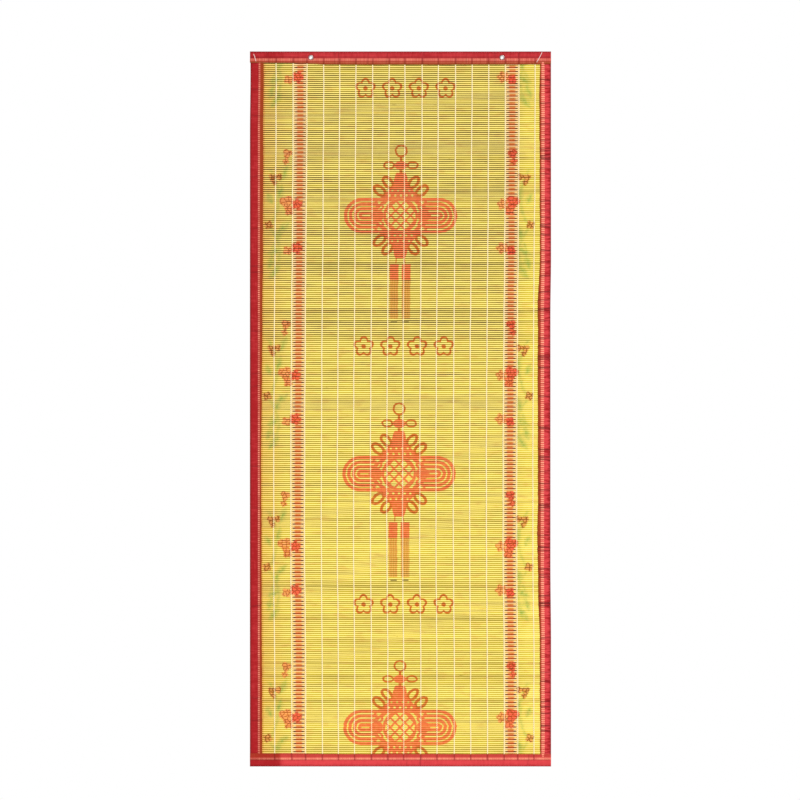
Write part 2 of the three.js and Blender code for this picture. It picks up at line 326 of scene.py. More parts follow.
def splint_depth(number, pitch, x):
    """Depth of a splint's middle at a place along it. Splints count down from 0 under the top binding."""
    close = FIRST_SPLINT + pitch * number
    share = np.clip((x - WIDE_LINES[0]) / (WIDE_LINES[1] - WIDE_LINES[0]), *WIDE_LINES_REACH)
    depth = close
    for count, (one, other) in enumerate(WIDE_STRETCHES):
        past = close + WIDE_BY * (count + 0.5) - (one + (other - one) * share)
        depth = depth + WIDE_BY * smooth(-WIDE_REACH, WIDE_REACH, past)
    return depth


def uneven(at, pitch, rng):
    """A smooth random curve from -1 to 1, with one random value for each pitch."""
    at = np.asarray(at, float)
    place = (at - at.min()) / pitch
    knots = rng.uniform(-1, 1, int(place.max()) + 3)
    index = place.astype(int)
    t = place - index
    t = t * t * (3 - 2 * t)
    return knots[index] * (1 - t) + knots[index + 1] * t


def new_piece(name, points, faces, material, replaced, attributes, shade_smooth=True):
    """Make a mesh piece from points in millimetres, on the body and in the place of its CAD nodes."""
    mesh = bpy.data.meshes.new(name)
    mesh.from_pydata((np.asarray(points).reshape(-1, 3) * MM).tolist(), [], faces)
    for key, values in attributes.items():
        kind, field = ("FLOAT_VECTOR", "vector") if values.ndim > 1 else ("FLOAT", "value")
        layer = mesh.attributes.new(key, kind, "POINT")
        layer.data.foreach_set(field, np.ascontiguousarray(values, np.float32).ravel())
    work = bmesh.new()
    work.from_mesh(mesh)
    bmesh.ops.recalc_face_normals(work, faces=work.faces)
    work.to_mesh(mesh)
    work.free()
    mesh.polygons.foreach_set("use_smooth", [shade_smooth] * len(mesh.polygons))
    mesh.materials.append(material)
    piece = bpy.data.objects.new(name, mesh)
    bpy.context.scene.collection.objects.link(piece)
    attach(piece, "root")
    if replaced:
        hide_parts(*replaced)
    return piece


def swept_faces(paths, stations, sides):
    """Faces of closed rods: a ring of quads between stations and a cap on each end."""
    ring = np.arange(sides)
    beside = np.roll(ring, -1)
    row = np.arange(stations - 1)[:, None] * sides
    quads = np.stack([row + ring, row + beside, row + sides + beside, row + sides + ring], -1)
    start = np.arange(paths)[:, None, None] * stations * sides
    walls = (quads.reshape(1, -1, 4) + start).reshape(-1, 4)
    caps = np.stack([ring, ring + (stations - 1) * sides])
    caps = (caps[None] + start).reshape(-1, sides)
    return walls.tolist() + caps.tolist()


def sheet_faces(rows, columns):
    """Faces of a closed sheet: two matching grids of points, joined round their border."""
    at = np.arange(rows * columns).reshape(rows, columns)
    back = at + rows * columns

    def quads(a, b, c, d):
        return np.stack([a, b, c, d], -1).reshape(-1, 4).tolist()

    def both_sides(grid):
        return quads(grid[:-1, :-1], grid[1:, :-1], grid[1:, 1:], grid[:-1, 1:])

    faces = both_sides(at) + both_sides(back)
    for edge in (at[0], at[-1], at[:, 0], at[:, -1]):
        other = edge + rows * columns
        faces += quads(edge[:-1], edge[1:], other[1:], other[:-1])
    return faces


def rods(paths, side, out, half_side, half_out, sides):
    """Points of rods with an oval section, carried along an array of paths."""
    turn = 2 * math.pi * np.arange(sides) / sides
    across = half_side * np.cos(turn)
    away = half_out * np.sin(turn)
    return paths[:, :, None, :] + side[:, :, None, :] * across[:, None] + out[:, :, None, :] * away[:, None]


# Settings of a mix that lays the colour in socket 7 over the one in socket 6, by the amount in socket 0
INK_OVER = {"data_type": "RGBA"}


def add_node(tree, kind, settings=None, links=None, output=0):
    """Add a node, set its properties, fill or link its inputs, and give back one of its outputs."""
    node = tree.nodes.new(kind)
    for key, value in (settings or {}).items():
        setattr(node, key, value)
    for key, value in (links or {}).items():
        if isinstance(value, bpy.types.NodeSocket):
            tree.links.new(value, node.inputs[key])
        else:
            node.inputs[key].default_value = value
    return node.outputs[output]


def work_out(tree, values, steps):
    """Work out a formula: each step names its result, a Math operation and its operands."""
    values = dict(values)
    for result, operation, *operands in steps:
        links = {i: values.get(operand, operand) for i, operand in enumerate(operands)}
        values[result] = add_node(tree, "ShaderNodeMath", {"operation": operation}, links)
    return values


def start_material(name):
    """An empty node material and its principled shader's node."""
    material = bpy.data.materials.new(name)
    material.use_nodes = True
    shader = material.node_tree.nodes["Principled BSDF"]
    return material, material.node_tree, shader


# Print, in millimetres. Places are measured from a knot's middle: across is on each side of its
# middle line, down is below it. The knots repeat down the curtain, and the sprays more often. The lowest
# knot was printed a little early. INK_EDGE is how softly ink ends.
PRINT_REPEAT = 685.6
KNOT_AT = (-4.0, 433.2)
KNOT_WAIST = 3.2
KNOT_SLIP = dict(start=1610.0, reach=100.0, by=11.5)
INK_EDGE = 1.4
WING = dict(across=101.0, inner=60.0, stretch=1.05, reach=49.5, first=6.6, pitch=12.8, cord=4.5)
NODES = dict(across=62.0, down=0.0, turn=0, length=19.0, width=15.0)
ROOF = dict(low=38.0, high=81.0, narrow=19.0, spread=0.95)
DOT_ROWS = (
    dict(down=53.0, pitch=15.0, phase=0.0, radius=3.1),
    dict(down=67.0, pitch=15.0, phase=7.5, radius=2.7),
)
MEDALLION = dict(rim=45.5, field=39.0, lattice=13.0, gap=0.27)

HANGER_LOOPS = (
    dict(across=0.0, down=-169.0, turn=0, length=14.6, width=15.0, cord=2.5),
    dict(across=31.5, down=-130.5, turn=0, length=13.2, width=8.6, cord=2.5),
)
FAN_LOOPS = (
    dict(across=34.0, down=88.0, turn=50, length=17.0, width=9.6, cord=3.9),
    dict(across=56.0, down=66.0, turn=40, length=17.5, width=9.9, cord=3.9),
)
SHOULDER_LOOPS = (
    dict(across=0.0, down=0.0, turn=0, length=66.0, width=50.0, cord=3.4),
    dict(across=53.0, down=37.0, turn=-20, length=15.0, width=8.0, cord=3.2),
    dict(across=57.0, down=20.0, turn=-30, length=11.0, width=6.0, cord=3.0),
)
STRINGS = (
    dict(across=0.0, down=-148.0, half_across=3.4, half_down=8.0, slant=0.0),
    dict(across=0.0, down=-112.0, half_across=4.0, half_down=6.0, slant=0.0),
    dict(across=10.5, down=119.0, half_across=1.5, half_down=11.0, slant=0.15),
)
BEAD = dict(across=0.0, down=-130.0, turn=0, length=16.5, width=12.0)
BELL = dict(across=0.0, down=80.0, turn=0, length=19.5, width=43.0, foot=78.0, end=114.0)
TASSEL_HEADS = dict(across=16.0, down=152.5, half_across=11.8, half_down=21.0, slant=0.0)
FRINGE = dict(across=16.0, down=224.0, half_across=11.4, half_down=54.0, slant=0.0)
FRINGE_TIPS = dict(across=15.5, down=286.0, half_across=8.5, half_down=1.7, slant=0.0)
FRINGE_STRAND = 6.5

# Sprays of the side borders, mirrored about their own middle line. deep is how full the red is on the
# left and on the right, because the roses that lie on a band are the red ones. brown is how far a rose
# turns brown all over.
SPRAY_REPEAT = 454.4
SPRAY_AT = (-6.9, 409.3)
ROSE_EDGE = 4.0
ROSE_PETAL = 9.5
ROSES = (
    dict(across=301.0, down=-9.0, radius=19.0, petals=3, start=0.4, deep=(0.2, 0.85), brown=0.0),
    dict(across=293.0, down=15.0, radius=13.5, petals=4, start=1.4, deep=(0.3, 0.6), brown=0.05),
    dict(across=273.5, down=-3.0, radius=15.5, petals=5, start=1.1, deep=(0.85, 0.1), brown=0.0),
    dict(across=338.0, down=-74.0, radius=11.0, petals=3, start=0.9, deep=(0.0, 0.0), brown=0.4),
    dict(across=321.0, down=-76.0, radius=10.0, petals=3, start=0.2, deep=(0.05, 0.05), brown=0.35),
    dict(across=333.0, down=-60.0, radius=8.0, petals=3, start=0.5, deep=(0.1, 0.1), brown=0.4),
    dict(across=348.0, down=52.0, radius=12.5, petals=4, start=0.9, deep=(0.0, 0.0), brown=0.4),
    dict(across=297.0, down=120.0, radius=13.0, petals=4, start=2.0, deep=(0.15, 0.95), brown=0.0),
    dict(across=273.0, down=113.0, radius=16.5, petals=5, start=1.7, deep=(0.85, 0.1), brown=0.0),
    dict(across=299.0, down=-138.0, radius=13.5, petals=3, start=1.2, deep=(0.2, 0.9), brown=0.1),
    dict(across=303.0, down=-117.0, radius=9.5, petals=4, start=0.5, deep=(0.1, 0.8), brown=0.1),
)
LEAF_EDGE = 13.0
LEAVES = (
    dict(across=321.0, down=76.0, turn=80, length=17.0, width=7.0),
    dict(across=331.0, down=122.0, turn=25, length=18.0, width=7.4),
    dict(across=330.0, down=176.0, turn=52, length=21.0, width=7.6),
    dict(across=341.0, down=152.0, turn=70, length=17.0, width=6.8),
    dict(across=308.0, down=58.0, turn=40, length=16.0, width=6.6),
    dict(across=318.0, down=-34.0, turn=76, length=19.0, width=7.0),
    dict(across=307.0, down=-84.0, turn=66, length=20.0, width=6.8),
    dict(across=345.0, down=-18.0, turn=115, length=14.0, width=6.0),
)
STEMS = (
    dict(across=321.0, down=-20.0, half_down=74.0, bend=0.004, half_across=1.1),
    dict(across=318.0, down=126.0, half_down=60.0, bend=0.006, half_across=1.1),
    dict(across=339.0, down=128.0, half_down=26.0, bend=-0.012, half_across=1.0),
)

# Bands between the two close pairs of warp lines: half-widths of the peach ground, of the orange bead on
# every second splint, of the dark rung below it and of the rung's red heart, with how softly each ends
BAND = dict(middle=9.0, across=281.6)
BAND_PARTS = dict(ground=(17.0, 4.0), bead=(8.6, 5.0), rung=(14.6, 2.5), heart=(7.6, 4.0))
RUNG_HALF_HEIGHT = 1.8

# Row of plain blossoms above each knot
BLOSSOMS = dict(down=98.3, first=-99.3, pitch=70.9, count=4, radius=25.0)
BLOSSOM_LINE = 3.1
BLOSSOM_HEART = 6.0

TURNED_OVAL = (
    ("dx", "SUBTRACT", "x", "across"), ("dy", "SUBTRACT", "y", "down"),
    ("px", "MULTIPLY", "dx", "cosine"), ("qx", "MULTIPLY_ADD", "dy", "sine", "px"),
    ("py", "MULTIPLY", "dx", "sine"), ("ry", "MULTIPLY", "dy", "cosine"), ("qy", "SUBTRACT", "ry", "py"),
    ("ex", "DIVIDE", "qx", "length"), ("ey", "DIVIDE", "qy", "width"),
    ("exx", "MULTIPLY", "ex", "ex"), ("kk", "MULTIPLY_ADD", "ey", "ey", "exx"), ("k", "SQRT", "kk"),
    ("gx", "DIVIDE", "ex", "length"), ("gy", "DIVIDE", "ey", "width"),
    ("gxx", "MULTIPLY", "gx", "gx"), ("gg", "MULTIPLY_ADD", "gy", "gy", "gxx"), ("g", "SQRT", "gg"),
    ("over", "SUBTRACT", "k", 1), ("scaled", "MULTIPLY", "k", "over"), ("solid", "DIVIDE", "scaled", "g"),
)
CORD_RING = TURNED_OVAL + (("line", "ABSOLUTE", "solid"), ("result", "SUBTRACT", "line", "cord"))
RACETRACK_CORDS = (
    ("past", "SUBTRACT", "x", "across"), ("dx", "MAXIMUM", "past", 0), ("dxx", "MULTIPLY", "dx", "dx"),
    ("dy", "MULTIPLY", "y", "stretch"), ("rr", "MULTIPLY_ADD", "dy", "dy", "dxx"), ("r", "SQRT", "rr"),
    ("phase", "SUBTRACT", "r", "first"), ("beat", "PINGPONG", "phase", "half_pitch"),
    ("rings", "SUBTRACT", "beat", "cord"), ("outside", "SUBTRACT", "r", "reach"),
    ("inside", "SUBTRACT", "inner", "x"), ("ends", "MAXIMUM", "outside", "inside"),
    ("result", "MAXIMUM", "rings", "ends"),
)
BELL_SHAPE = TURNED_OVAL + (
    ("short", "SUBTRACT", "foot", "y"), ("blunt", "SUBTRACT", "y", "end"),
    ("ends", "MAXIMUM", "short", "blunt"), ("result", "MAXIMUM", "solid", "ends"),
)
SLANTED_BAR = (
    ("dy", "SUBTRACT", "y", "down"), ("lean", "MULTIPLY_ADD", "dy", "slant", "across"),
    ("dx", "SUBTRACT", "x", "lean"), ("ax", "ABSOLUTE", "dx"), ("ay", "ABSOLUTE", "dy"),
    ("bx", "SUBTRACT", "ax", "half_across"), ("by", "SUBTRACT", "ay", "half_down"),
    ("result", "MAXIMUM", "bx", "by"),
)
ROOF_SHAPE = (
    ("drop", "SUBTRACT", "high", "y"), ("half", "MULTIPLY_ADD", "drop", "spread", "narrow"),
    ("side", "SUBTRACT", "x", "half"), ("above", "SUBTRACT", "low", "y"), ("below", "SUBTRACT", "y", "high"),
    ("ends", "MAXIMUM", "above", "below"), ("result", "MAXIMUM", "side", "ends"),
)
DOTS = (
    ("dy", "SUBTRACT", "y", "down"), ("sx", "ADD", "x", "phase"), ("dx", "PINGPONG", "sx", "half_pitch"),
    ("dxx", "MULTIPLY", "dx", "dx"), ("rr", "MULTIPLY_ADD", "dy", "dy", "dxx"), ("r", "SQRT", "rr"),
    ("outside", "SUBTRACT", "radius", "r"),
)
LATTICE_DISC = (
    ("xx", "MULTIPLY", "x", "x"), ("rr", "MULTIPLY_ADD", "y", "y", "xx"), ("r", "SQRT", "rr"),
    ("sum", "ADD", "x", "y"), ("difference", "SUBTRACT", "x", "y"),
    ("one", "PINGPONG", "sum", "lattice"), ("two", "PINGPONG", "difference", "lattice"),
    ("cell", "MINIMUM", "one", "two"), ("limit", "MULTIPLY", "lattice", "gap"),
    ("holes", "SUBTRACT", "limit", "cell"), ("inside", "SUBTRACT", "r", "field"),
    ("gaps", "MAXIMUM", "holes", "inside"), ("kept", "MULTIPLY", "gaps", -1),
    ("disc", "SUBTRACT", "r", "rim"), ("result", "MAXIMUM", "disc", "kept"),
)
PETALLED = (
    ("dx", "SUBTRACT", "x", "across"), ("dy", "SUBTRACT", "y", "down"),
    ("dxx", "MULTIPLY", "dx", "dx"), ("rr", "MULTIPLY_ADD", "dy", "dy", "dxx"), ("r", "SQRT", "rr"),
    ("angle", "ARCTAN2", "dy", "dx"), ("lobe", "MULTIPLY_ADD", "angle", "half_petals", "start"),
    ("wave", "COSINE", "lobe"), ("round", "ABSOLUTE", "wave"),
    ("swell", "MULTIPLY_ADD", "round", 0.34, 0.66),
    ("reach", "MULTIPLY", "swell", "radius"), ("result", "SUBTRACT", "r", "reach"),
)
LEAF_BLADE = (
    ("dx", "SUBTRACT", "x", "across"), ("dy", "SUBTRACT", "y", "down"),
    ("px", "MULTIPLY", "dx", "cosine"), ("qx", "MULTIPLY_ADD", "dy", "sine", "px"),
    ("py", "MULTIPLY", "dx", "sine"), ("ry", "MULTIPLY", "dy", "cosine"), ("qy", "SUBTRACT", "ry", "py"),
    ("along", "DIVIDE", "qx", "length"), ("square", "MULTIPLY", "along", "along"),
    ("taper", "SUBTRACT", 1, "square"), ("half", "MULTIPLY", "taper", "width"),
    ("off", "ABSOLUTE", "qy"), ("result", "SUBTRACT", "off", "half"),
)
STEM_LINE = (
    ("dy", "SUBTRACT", "y", "down"), ("dyy", "MULTIPLY", "dy", "dy"),
    ("path", "MULTIPLY_ADD", "dyy", "bend", "across"), ("dx", "SUBTRACT", "x", "path"),
    ("ax", "ABSOLUTE", "dx"), ("bx", "SUBTRACT", "ax", "half_across"),
    ("ay", "ABSOLUTE", "dy"), ("by", "SUBTRACT", "ay", "half_down"), ("result", "MAXIMUM", "bx", "by"),
)


def with_turn(row):
    """A shape's row with the cosine and sine of its turn."""
    turn = math.radians(row["turn"])
    return {**row, "cosine": math.cos(turn), "sine": math.sin(turn)}


def with_half(row):
    """A repeating shape's row with half of its pitch."""
    return {**row, "half_pitch": row["pitch"] / 2}


def nearest(tree, distances):
    """The smallest of several distances, so that shapes join."""
    found = distances[0]
    for other in distances[1:]:
        found = add_node(tree, "ShaderNodeMath", {"operation": "MINIMUM"}, {0: found, 1: other})
    return found


def inked(tree, distance, strength=1.0, edge=INK_EDGE):
    """How far ink covers a place at a signed distance from a shape's edge."""
    steps = (("fade", "MULTIPLY_ADD", "d", -1 / edge, 0.5), ("most", "MINIMUM", "fade", 1),
             ("least", "MAXIMUM", "most", 0), ("cover", "MULTIPLY", "least", strength))
    return work_out(tree, {"d": distance}, steps)["cover"]


def knot_cords(tree, at, both):
    """Signed distance from the knot's drawn cords: ring, loops and strings."""
    found = [work_out(tree, {**at, **with_turn(row)}, CORD_RING)["result"] for row in HANGER_LOOPS]
    found += [work_out(tree, {**both, **with_turn(row)}, CORD_RING)["result"] for row in FAN_LOOPS]
    found += [work_out(tree, {**at, **row}, SLANTED_BAR)["result"] for row in STRINGS]
    return nearest(tree, found)


def knot_solids(tree, at, both):
    """Signed distance from the knot's redder parts: its wings, bead, bells, nodes, roofs and so on."""
    found = [work_out(tree, {**both, **with_turn(row)}, CORD_RING)["result"] for row in SHOULDER_LOOPS]
    found.append(work_out(tree, {**at, **with_turn(BEAD)}, TURNED_OVAL)["solid"])
    found.append(work_out(tree, {**both, **with_turn(BELL)}, BELL_SHAPE)["result"])
    found.append(work_out(tree, {**both, **with_half(WING)}, RACETRACK_CORDS)["result"])
    found.append(work_out(tree, {**at, **TASSEL_HEADS}, SLANTED_BAR)["result"])
    found.append(work_out(tree, {**both, **with_turn(NODES)}, TURNED_OVAL)["solid"])
    found.append(work_out(tree, {**both, **ROOF}, ROOF_SHAPE)["result"])
    values = {"solid": nearest(tree, found)}
    for number, row in enumerate(DOT_ROWS):
        values[f"dots_{number}"] = work_out(tree, {**both, **with_half(row)}, DOTS)["outside"]
    disc = work_out(tree, {**both, **MEDALLION}, LATTICE_DISC)
    cut = work_out(tree, {**values, "rim": disc["disc"]}, (
        ("a", "MAXIMUM", "solid", "dots_0"), ("b", "MAXIMUM", "a", "dots_1"),
        ("hole", "MULTIPLY", "rim", -1), ("result", "MAXIMUM", "b", "hole"),
    ))
    return nearest(tree, [cut["result"], disc["result"]])


def band_colour(tree, colours, colour, x, from_rung, ink):
    """The colour with the bands laid over it, and how far a place is inside a rung."""
    far = work_out(tree, {"x": x}, (
        ("bx", "SUBTRACT", "x", BAND["middle"]), ("ba", "ABSOLUTE", "bx"),
        ("off", "SUBTRACT", "ba", BAND["across"]), ("far", "ABSOLUTE", "off"),
    ))["far"]
    cover = {}
    for part, (half, fade) in BAND_PARTS.items():
        away = work_out(tree, {"far": far}, (("d", "SUBTRACT", "far", half),))["d"]
        cover[part] = inked(tree, away, 1.0, fade)
    near = work_out(tree, {"z": from_rung}, (
        ("a", "ABSOLUTE", "z"), ("rung", "SUBTRACT", "a", RUNG_HALF_HEIGHT), ("bead", "MULTIPLY", "z", -1),
    ))
    in_rung = inked(tree, near["rung"])
    on_bead = inked(tree, near["bead"], 0.7)
    amount = work_out(tree, {"ink": ink, "in_rung": in_rung, "on_bead": on_bead, **cover}, (
        ("most", "ADD", "on_bead", 0.25), ("core", "MULTIPLY", "bead", "most"),
        ("bead_ink", "MULTIPLY", "core", "ink"),
        ("line", "MULTIPLY", "rung", "in_rung"), ("rung_ink", "MULTIPLY", "line", "ink"),
        ("heart_ink", "MULTIPLY", "heart", "in_rung"),
    ))
    for ink_colour, part in (
        (colours.band_light, cover["ground"]), (colours.band_core, amount["bead_ink"]),
        (colours.band_dark, amount["rung_ink"]), (colours.band_red, amount["heart_ink"]),
    ):
        colour = add_node(tree, "ShaderNodeMix", INK_OVER, {0: part, 6: colour, 7: ink_colour}, 2)
    return colour, amount["line"]


def print_places(tree, x, depth):
    """Places beside and below the nearest knot, on both sides of its waist, and about the nearest spray."""
    half = PRINT_REPEAT / 2
    at = work_out(tree, {"x": x, "depth": depth}, (
        ("dx", "SUBTRACT", "x", KNOT_AT[0]), ("knot_x", "ABSOLUTE", "dx"),
        ("past", "SUBTRACT", "depth", KNOT_SLIP["start"]), ("share", "DIVIDE", "past", KNOT_SLIP["reach"]),
        ("some", "MAXIMUM", "share", 0), ("slipped", "MINIMUM", "some", 1),
        ("knot_depth", "MULTIPLY_ADD", "slipped", KNOT_SLIP["by"], "depth"),
        ("dy", "SUBTRACT", "knot_depth", KNOT_AT[1]), ("up", "ADD", "dy", half),
        ("turns", "FLOORED_MODULO", "up", PRINT_REPEAT), ("knot_y", "SUBTRACT", "turns", half),
        ("waist", "SUBTRACT", "knot_y", KNOT_WAIST), ("both_y", "ABSOLUTE", "waist"),
        ("sx", "SUBTRACT", "x", SPRAY_AT[0]), ("spray_x", "ABSOLUTE", "sx"),
        ("right_side", "GREATER_THAN", "sx", 0),
        ("sy", "SUBTRACT", "depth", SPRAY_AT[1] - SPRAY_REPEAT / 2),
        ("round", "FLOORED_MODULO", "sy", SPRAY_REPEAT), ("spray_y", "SUBTRACT", "round", SPRAY_REPEAT / 2),
    ))
    knot = {"x": at["knot_x"], "y": at["knot_y"]}
    both = {"x": at["knot_x"], "y": at["both_y"]}
    spray = {"x": at["spray_x"], "y": at["spray_y"], "right_side": at["right_side"]}
    return knot, both, spray


def leaves_over(tree, colours, colour, spray, patchy):
    """The colour with the sprays' leaves and stems laid over it, thin and soft."""
    shapes = [work_out(tree, {**spray, **with_turn(row)}, LEAF_BLADE)["result"] for row in LEAVES]
    shapes += [work_out(tree, {**spray, **row}, STEM_LINE)["result"] for row in STEMS]
    cover = inked(tree, nearest(tree, shapes), 0.8, LEAF_EDGE)
    laid = work_out(tree, {"cover": cover, "n": patchy}, (
        ("thin", "MULTIPLY_ADD", "n", 1.6, -0.1), ("r", "MULTIPLY", "cover", "thin"),
    ))["r"]
    return add_node(tree, "ShaderNodeMix", INK_OVER, {0: laid, 6: colour, 7: colours.leaf_ink}, 2)


def roses_over(tree, colours, colour, spray, place):
    """The colour with the sprays' roses laid over it, their petals parted by darker lines."""
    # Petals of about 9.5 mm, with lines drawn wide enough to show
    petals = add_node(tree, "ShaderNodeTexVoronoi",
                      {"voronoi_dimensions": "2D", "feature": "DISTANCE_TO_EDGE"},
                      {"Vector": place, "Scale": 1 / ROSE_PETAL})
    parting = work_out(tree, {"d": petals}, (
        ("near", "MULTIPLY_ADD", "d", -5.5, 1.0), ("line", "MAXIMUM", "near", 0),
    ))["line"]
    for row in ROSES:
        rose = work_out(tree, {**spray, **row, "half_petals": row["petals"] / 2}, PETALLED)
        left, right = row["deep"]
        ink_of = work_out(tree, {
            "right_side": spray["right_side"], "line": parting,
            "cover": inked(tree, rose["result"], 1.0, ROSE_EDGE),
        }, (
            ("deep", "MULTIPLY_ADD", "right_side", right - left, left),
            ("dark", "MULTIPLY_ADD", "line", 0.8, row["brown"]),
            ("thick", "MULTIPLY_ADD", "deep", 0.25, 0.72),
            ("full", "MULTIPLY_ADD", "line", 0.3, "thick"), ("laid", "MULTIPLY", "cover", "full"),
        ))
        red = add_node(tree, "ShaderNodeMix", INK_OVER,
                       {0: ink_of["deep"], 6: colours.rose_ink, 7: colours.rose_deep}, 2)
        red = add_node(tree, "ShaderNodeMix", INK_OVER, {0: ink_of["dark"], 6: red, 7: colours.rose_shade}, 2)
        colour = add_node(tree, "ShaderNodeMix", INK_OVER, {0: ink_of["laid"], 6: colour, 7: red}, 2)
    return colour


def fringe_cover(tree, knot):
    """How far the tassels' fringe covers a place, in strands that wear thinner towards their tips."""
    fringe = work_out(tree, {**knot, **FRINGE}, SLANTED_BAR)
    return work_out(tree, {"x": knot["x"], "dy": fringe["dy"], "c": inked(tree, fringe["result"])}, (
        ("beat", "MULTIPLY", "x", 2 * math.pi / FRINGE_STRAND), ("wave", "SINE", "beat"),
        ("lines", "MULTIPLY_ADD", "wave", 0.14, 0.68), ("worn", "MULTIPLY_ADD", "dy", -0.0012, "lines"),
        ("cover", "MULTIPLY", "c", "worn"),
    ))["cover"]


def blossom_row(tree, x, depth):
    """Signed distance from a short row of equal blossoms, each a five-petalled outline with a heart."""
    half = PRINT_REPEAT / 2
    reach = BLOSSOMS["pitch"] * BLOSSOMS["count"] / 2
    cell = work_out(tree, {"x": x, "depth": depth}, (
        ("dy", "SUBTRACT", "depth", BLOSSOMS["down"]), ("up", "ADD", "dy", half),
        ("turns", "FLOORED_MODULO", "up", PRINT_REPEAT), ("y", "SUBTRACT", "turns", half),
        ("dx", "SUBTRACT", "x", BLOSSOMS["first"] - BLOSSOMS["pitch"] / 2),
        ("wrapped", "FLOORED_MODULO", "dx", BLOSSOMS["pitch"]),
        ("x", "SUBTRACT", "wrapped", BLOSSOMS["pitch"] / 2),
        ("middle", "SUBTRACT", "dx", reach), ("far", "ABSOLUTE", "middle"),
        ("past", "SUBTRACT", "far", reach),
    ))
    flower = dict(x=cell["x"], y=cell["y"], past=cell["past"], across=0.0, down=0.0, half_petals=2.5,
                  start=math.pi / 4, radius=BLOSSOMS["radius"])
    return work_out(tree, flower, PETALLED + (
        ("line", "ABSOLUTE", "result"), ("petal_line", "SUBTRACT", "line", BLOSSOM_LINE),
        ("heart", "SUBTRACT", "r", BLOSSOM_HEART), ("drawn", "MINIMUM", "petal_line", "heart"),
        ("shown", "MAXIMUM", "drawn", "past"),
    ))["shown"]


def printed_design(colours):
    """Node group for the print: the colour at a place, laid over a ground, with shade and dust painted down
    in a groove.
    """
    tree = bpy.data.node_groups.new("Printed design", "ShaderNodeTree")
    inlets = (("Place", "NodeSocketVector"), ("Ground", "NodeSocketColor"), ("Groove", "NodeSocketFloat"))
    for name, kind in inlets:
        tree.interface.new_socket(name, in_out="INPUT", socket_type=kind)
    tree.interface.new_socket("Colour", in_out="OUTPUT", socket_type="NodeSocketColor")
    inlet = tree.nodes.new("NodeGroupInput").outputs
    place = inlet["Place"]
    x, depth, from_rung = (add_node(tree, "ShaderNodeSeparateXYZ", None, {0: place}, i) for i in range(3))
    knot, both, spray = print_places(tree, x, depth)
    # Ink lies thinner in patches about 9 mm across
    patchy = add_node(tree, "ShaderNodeTexNoise", {"noise_dimensions": "2D"},
                      {"Vector": place, "Scale": 1 / 9, "Detail": 2.0, "Roughness": 0.6})
    ink = work_out(tree, {"n": patchy}, (("a", "MULTIPLY_ADD", "n", 0.4, 0.74),))["a"]

    colour = leaves_over(tree, colours, inlet["Ground"], spray, patchy)
    colour, in_rung = band_colour(tree, colours, colour, x, from_rung, ink)
    colour = roses_over(tree, colours, colour, spray, place)
    tips = work_out(tree, {**knot, **FRINGE_TIPS}, SLANTED_BAR)["result"]
    worn = work_out(tree, {
        "ink": ink, "solids": inked(tree, knot_solids(tree, knot, both)),
        "cords": inked(tree, nearest(tree, [knot_cords(tree, knot, both), blossom_row(tree, x, depth)])),
    }, (("drawn", "MULTIPLY", "cords", "ink"), ("filled", "MULTIPLY", "solids", "ink")))
    for ink_colour, cover in (
        (colours.fringe_ink, fringe_cover(tree, knot)), (colours.band_dark, inked(tree, tips, 0.85)),
        (colours.cord_ink, worn["drawn"]), (colours.knot_ink, worn["filled"]),
    ):
        colour = add_node(tree, "ShaderNodeMix", INK_OVER, {0: cover, 6: colour, 7: ink_colour}, 2)

    # Shade and dust are painted into the grooves, so the print is darker there, except on the rungs' own dark
    # ink. A fuller yellow is painted into that shade on the groove's sides too.
    groove_tints = work_out(tree, {"groove": inlet["Groove"], "rung": in_rung}, (
        ("kept", "MULTIPLY_ADD", "rung", -0.55, 1), ("dust", "MULTIPLY", "groove", "kept"),
        ("dye", "MULTIPLY", "dust", 3.0),
    ))
    for tint, amount in ((colours.groove_dust_and_shade, groove_tints["dust"]), (colours.groove_shade_yellow, groove_tints["dye"])):
        colour = add_node(tree, "ShaderNodeMix", {"blend_type": "MULTIPLY", **INK_OVER},
                          {0: amount, 6: colour, 7: tint}, 2)
    outlet = tree.nodes.new("NodeGroupOutput")
    tree.links.new(colour, outlet.inputs["Colour"])
    return tree


def design_over(tree, design, ground, groove=0.0):
    """The print laid over a ground colour, at the place that the mesh carries."""
    place = add_node(tree, "ShaderNodeAttribute", {"attribute_name": "print_at"}, None, 1)
    links = {"Place": place, "Ground": ground, "Groove": groove}
    return add_node(tree, "ShaderNodeGroup", {"node_tree": design}, links)


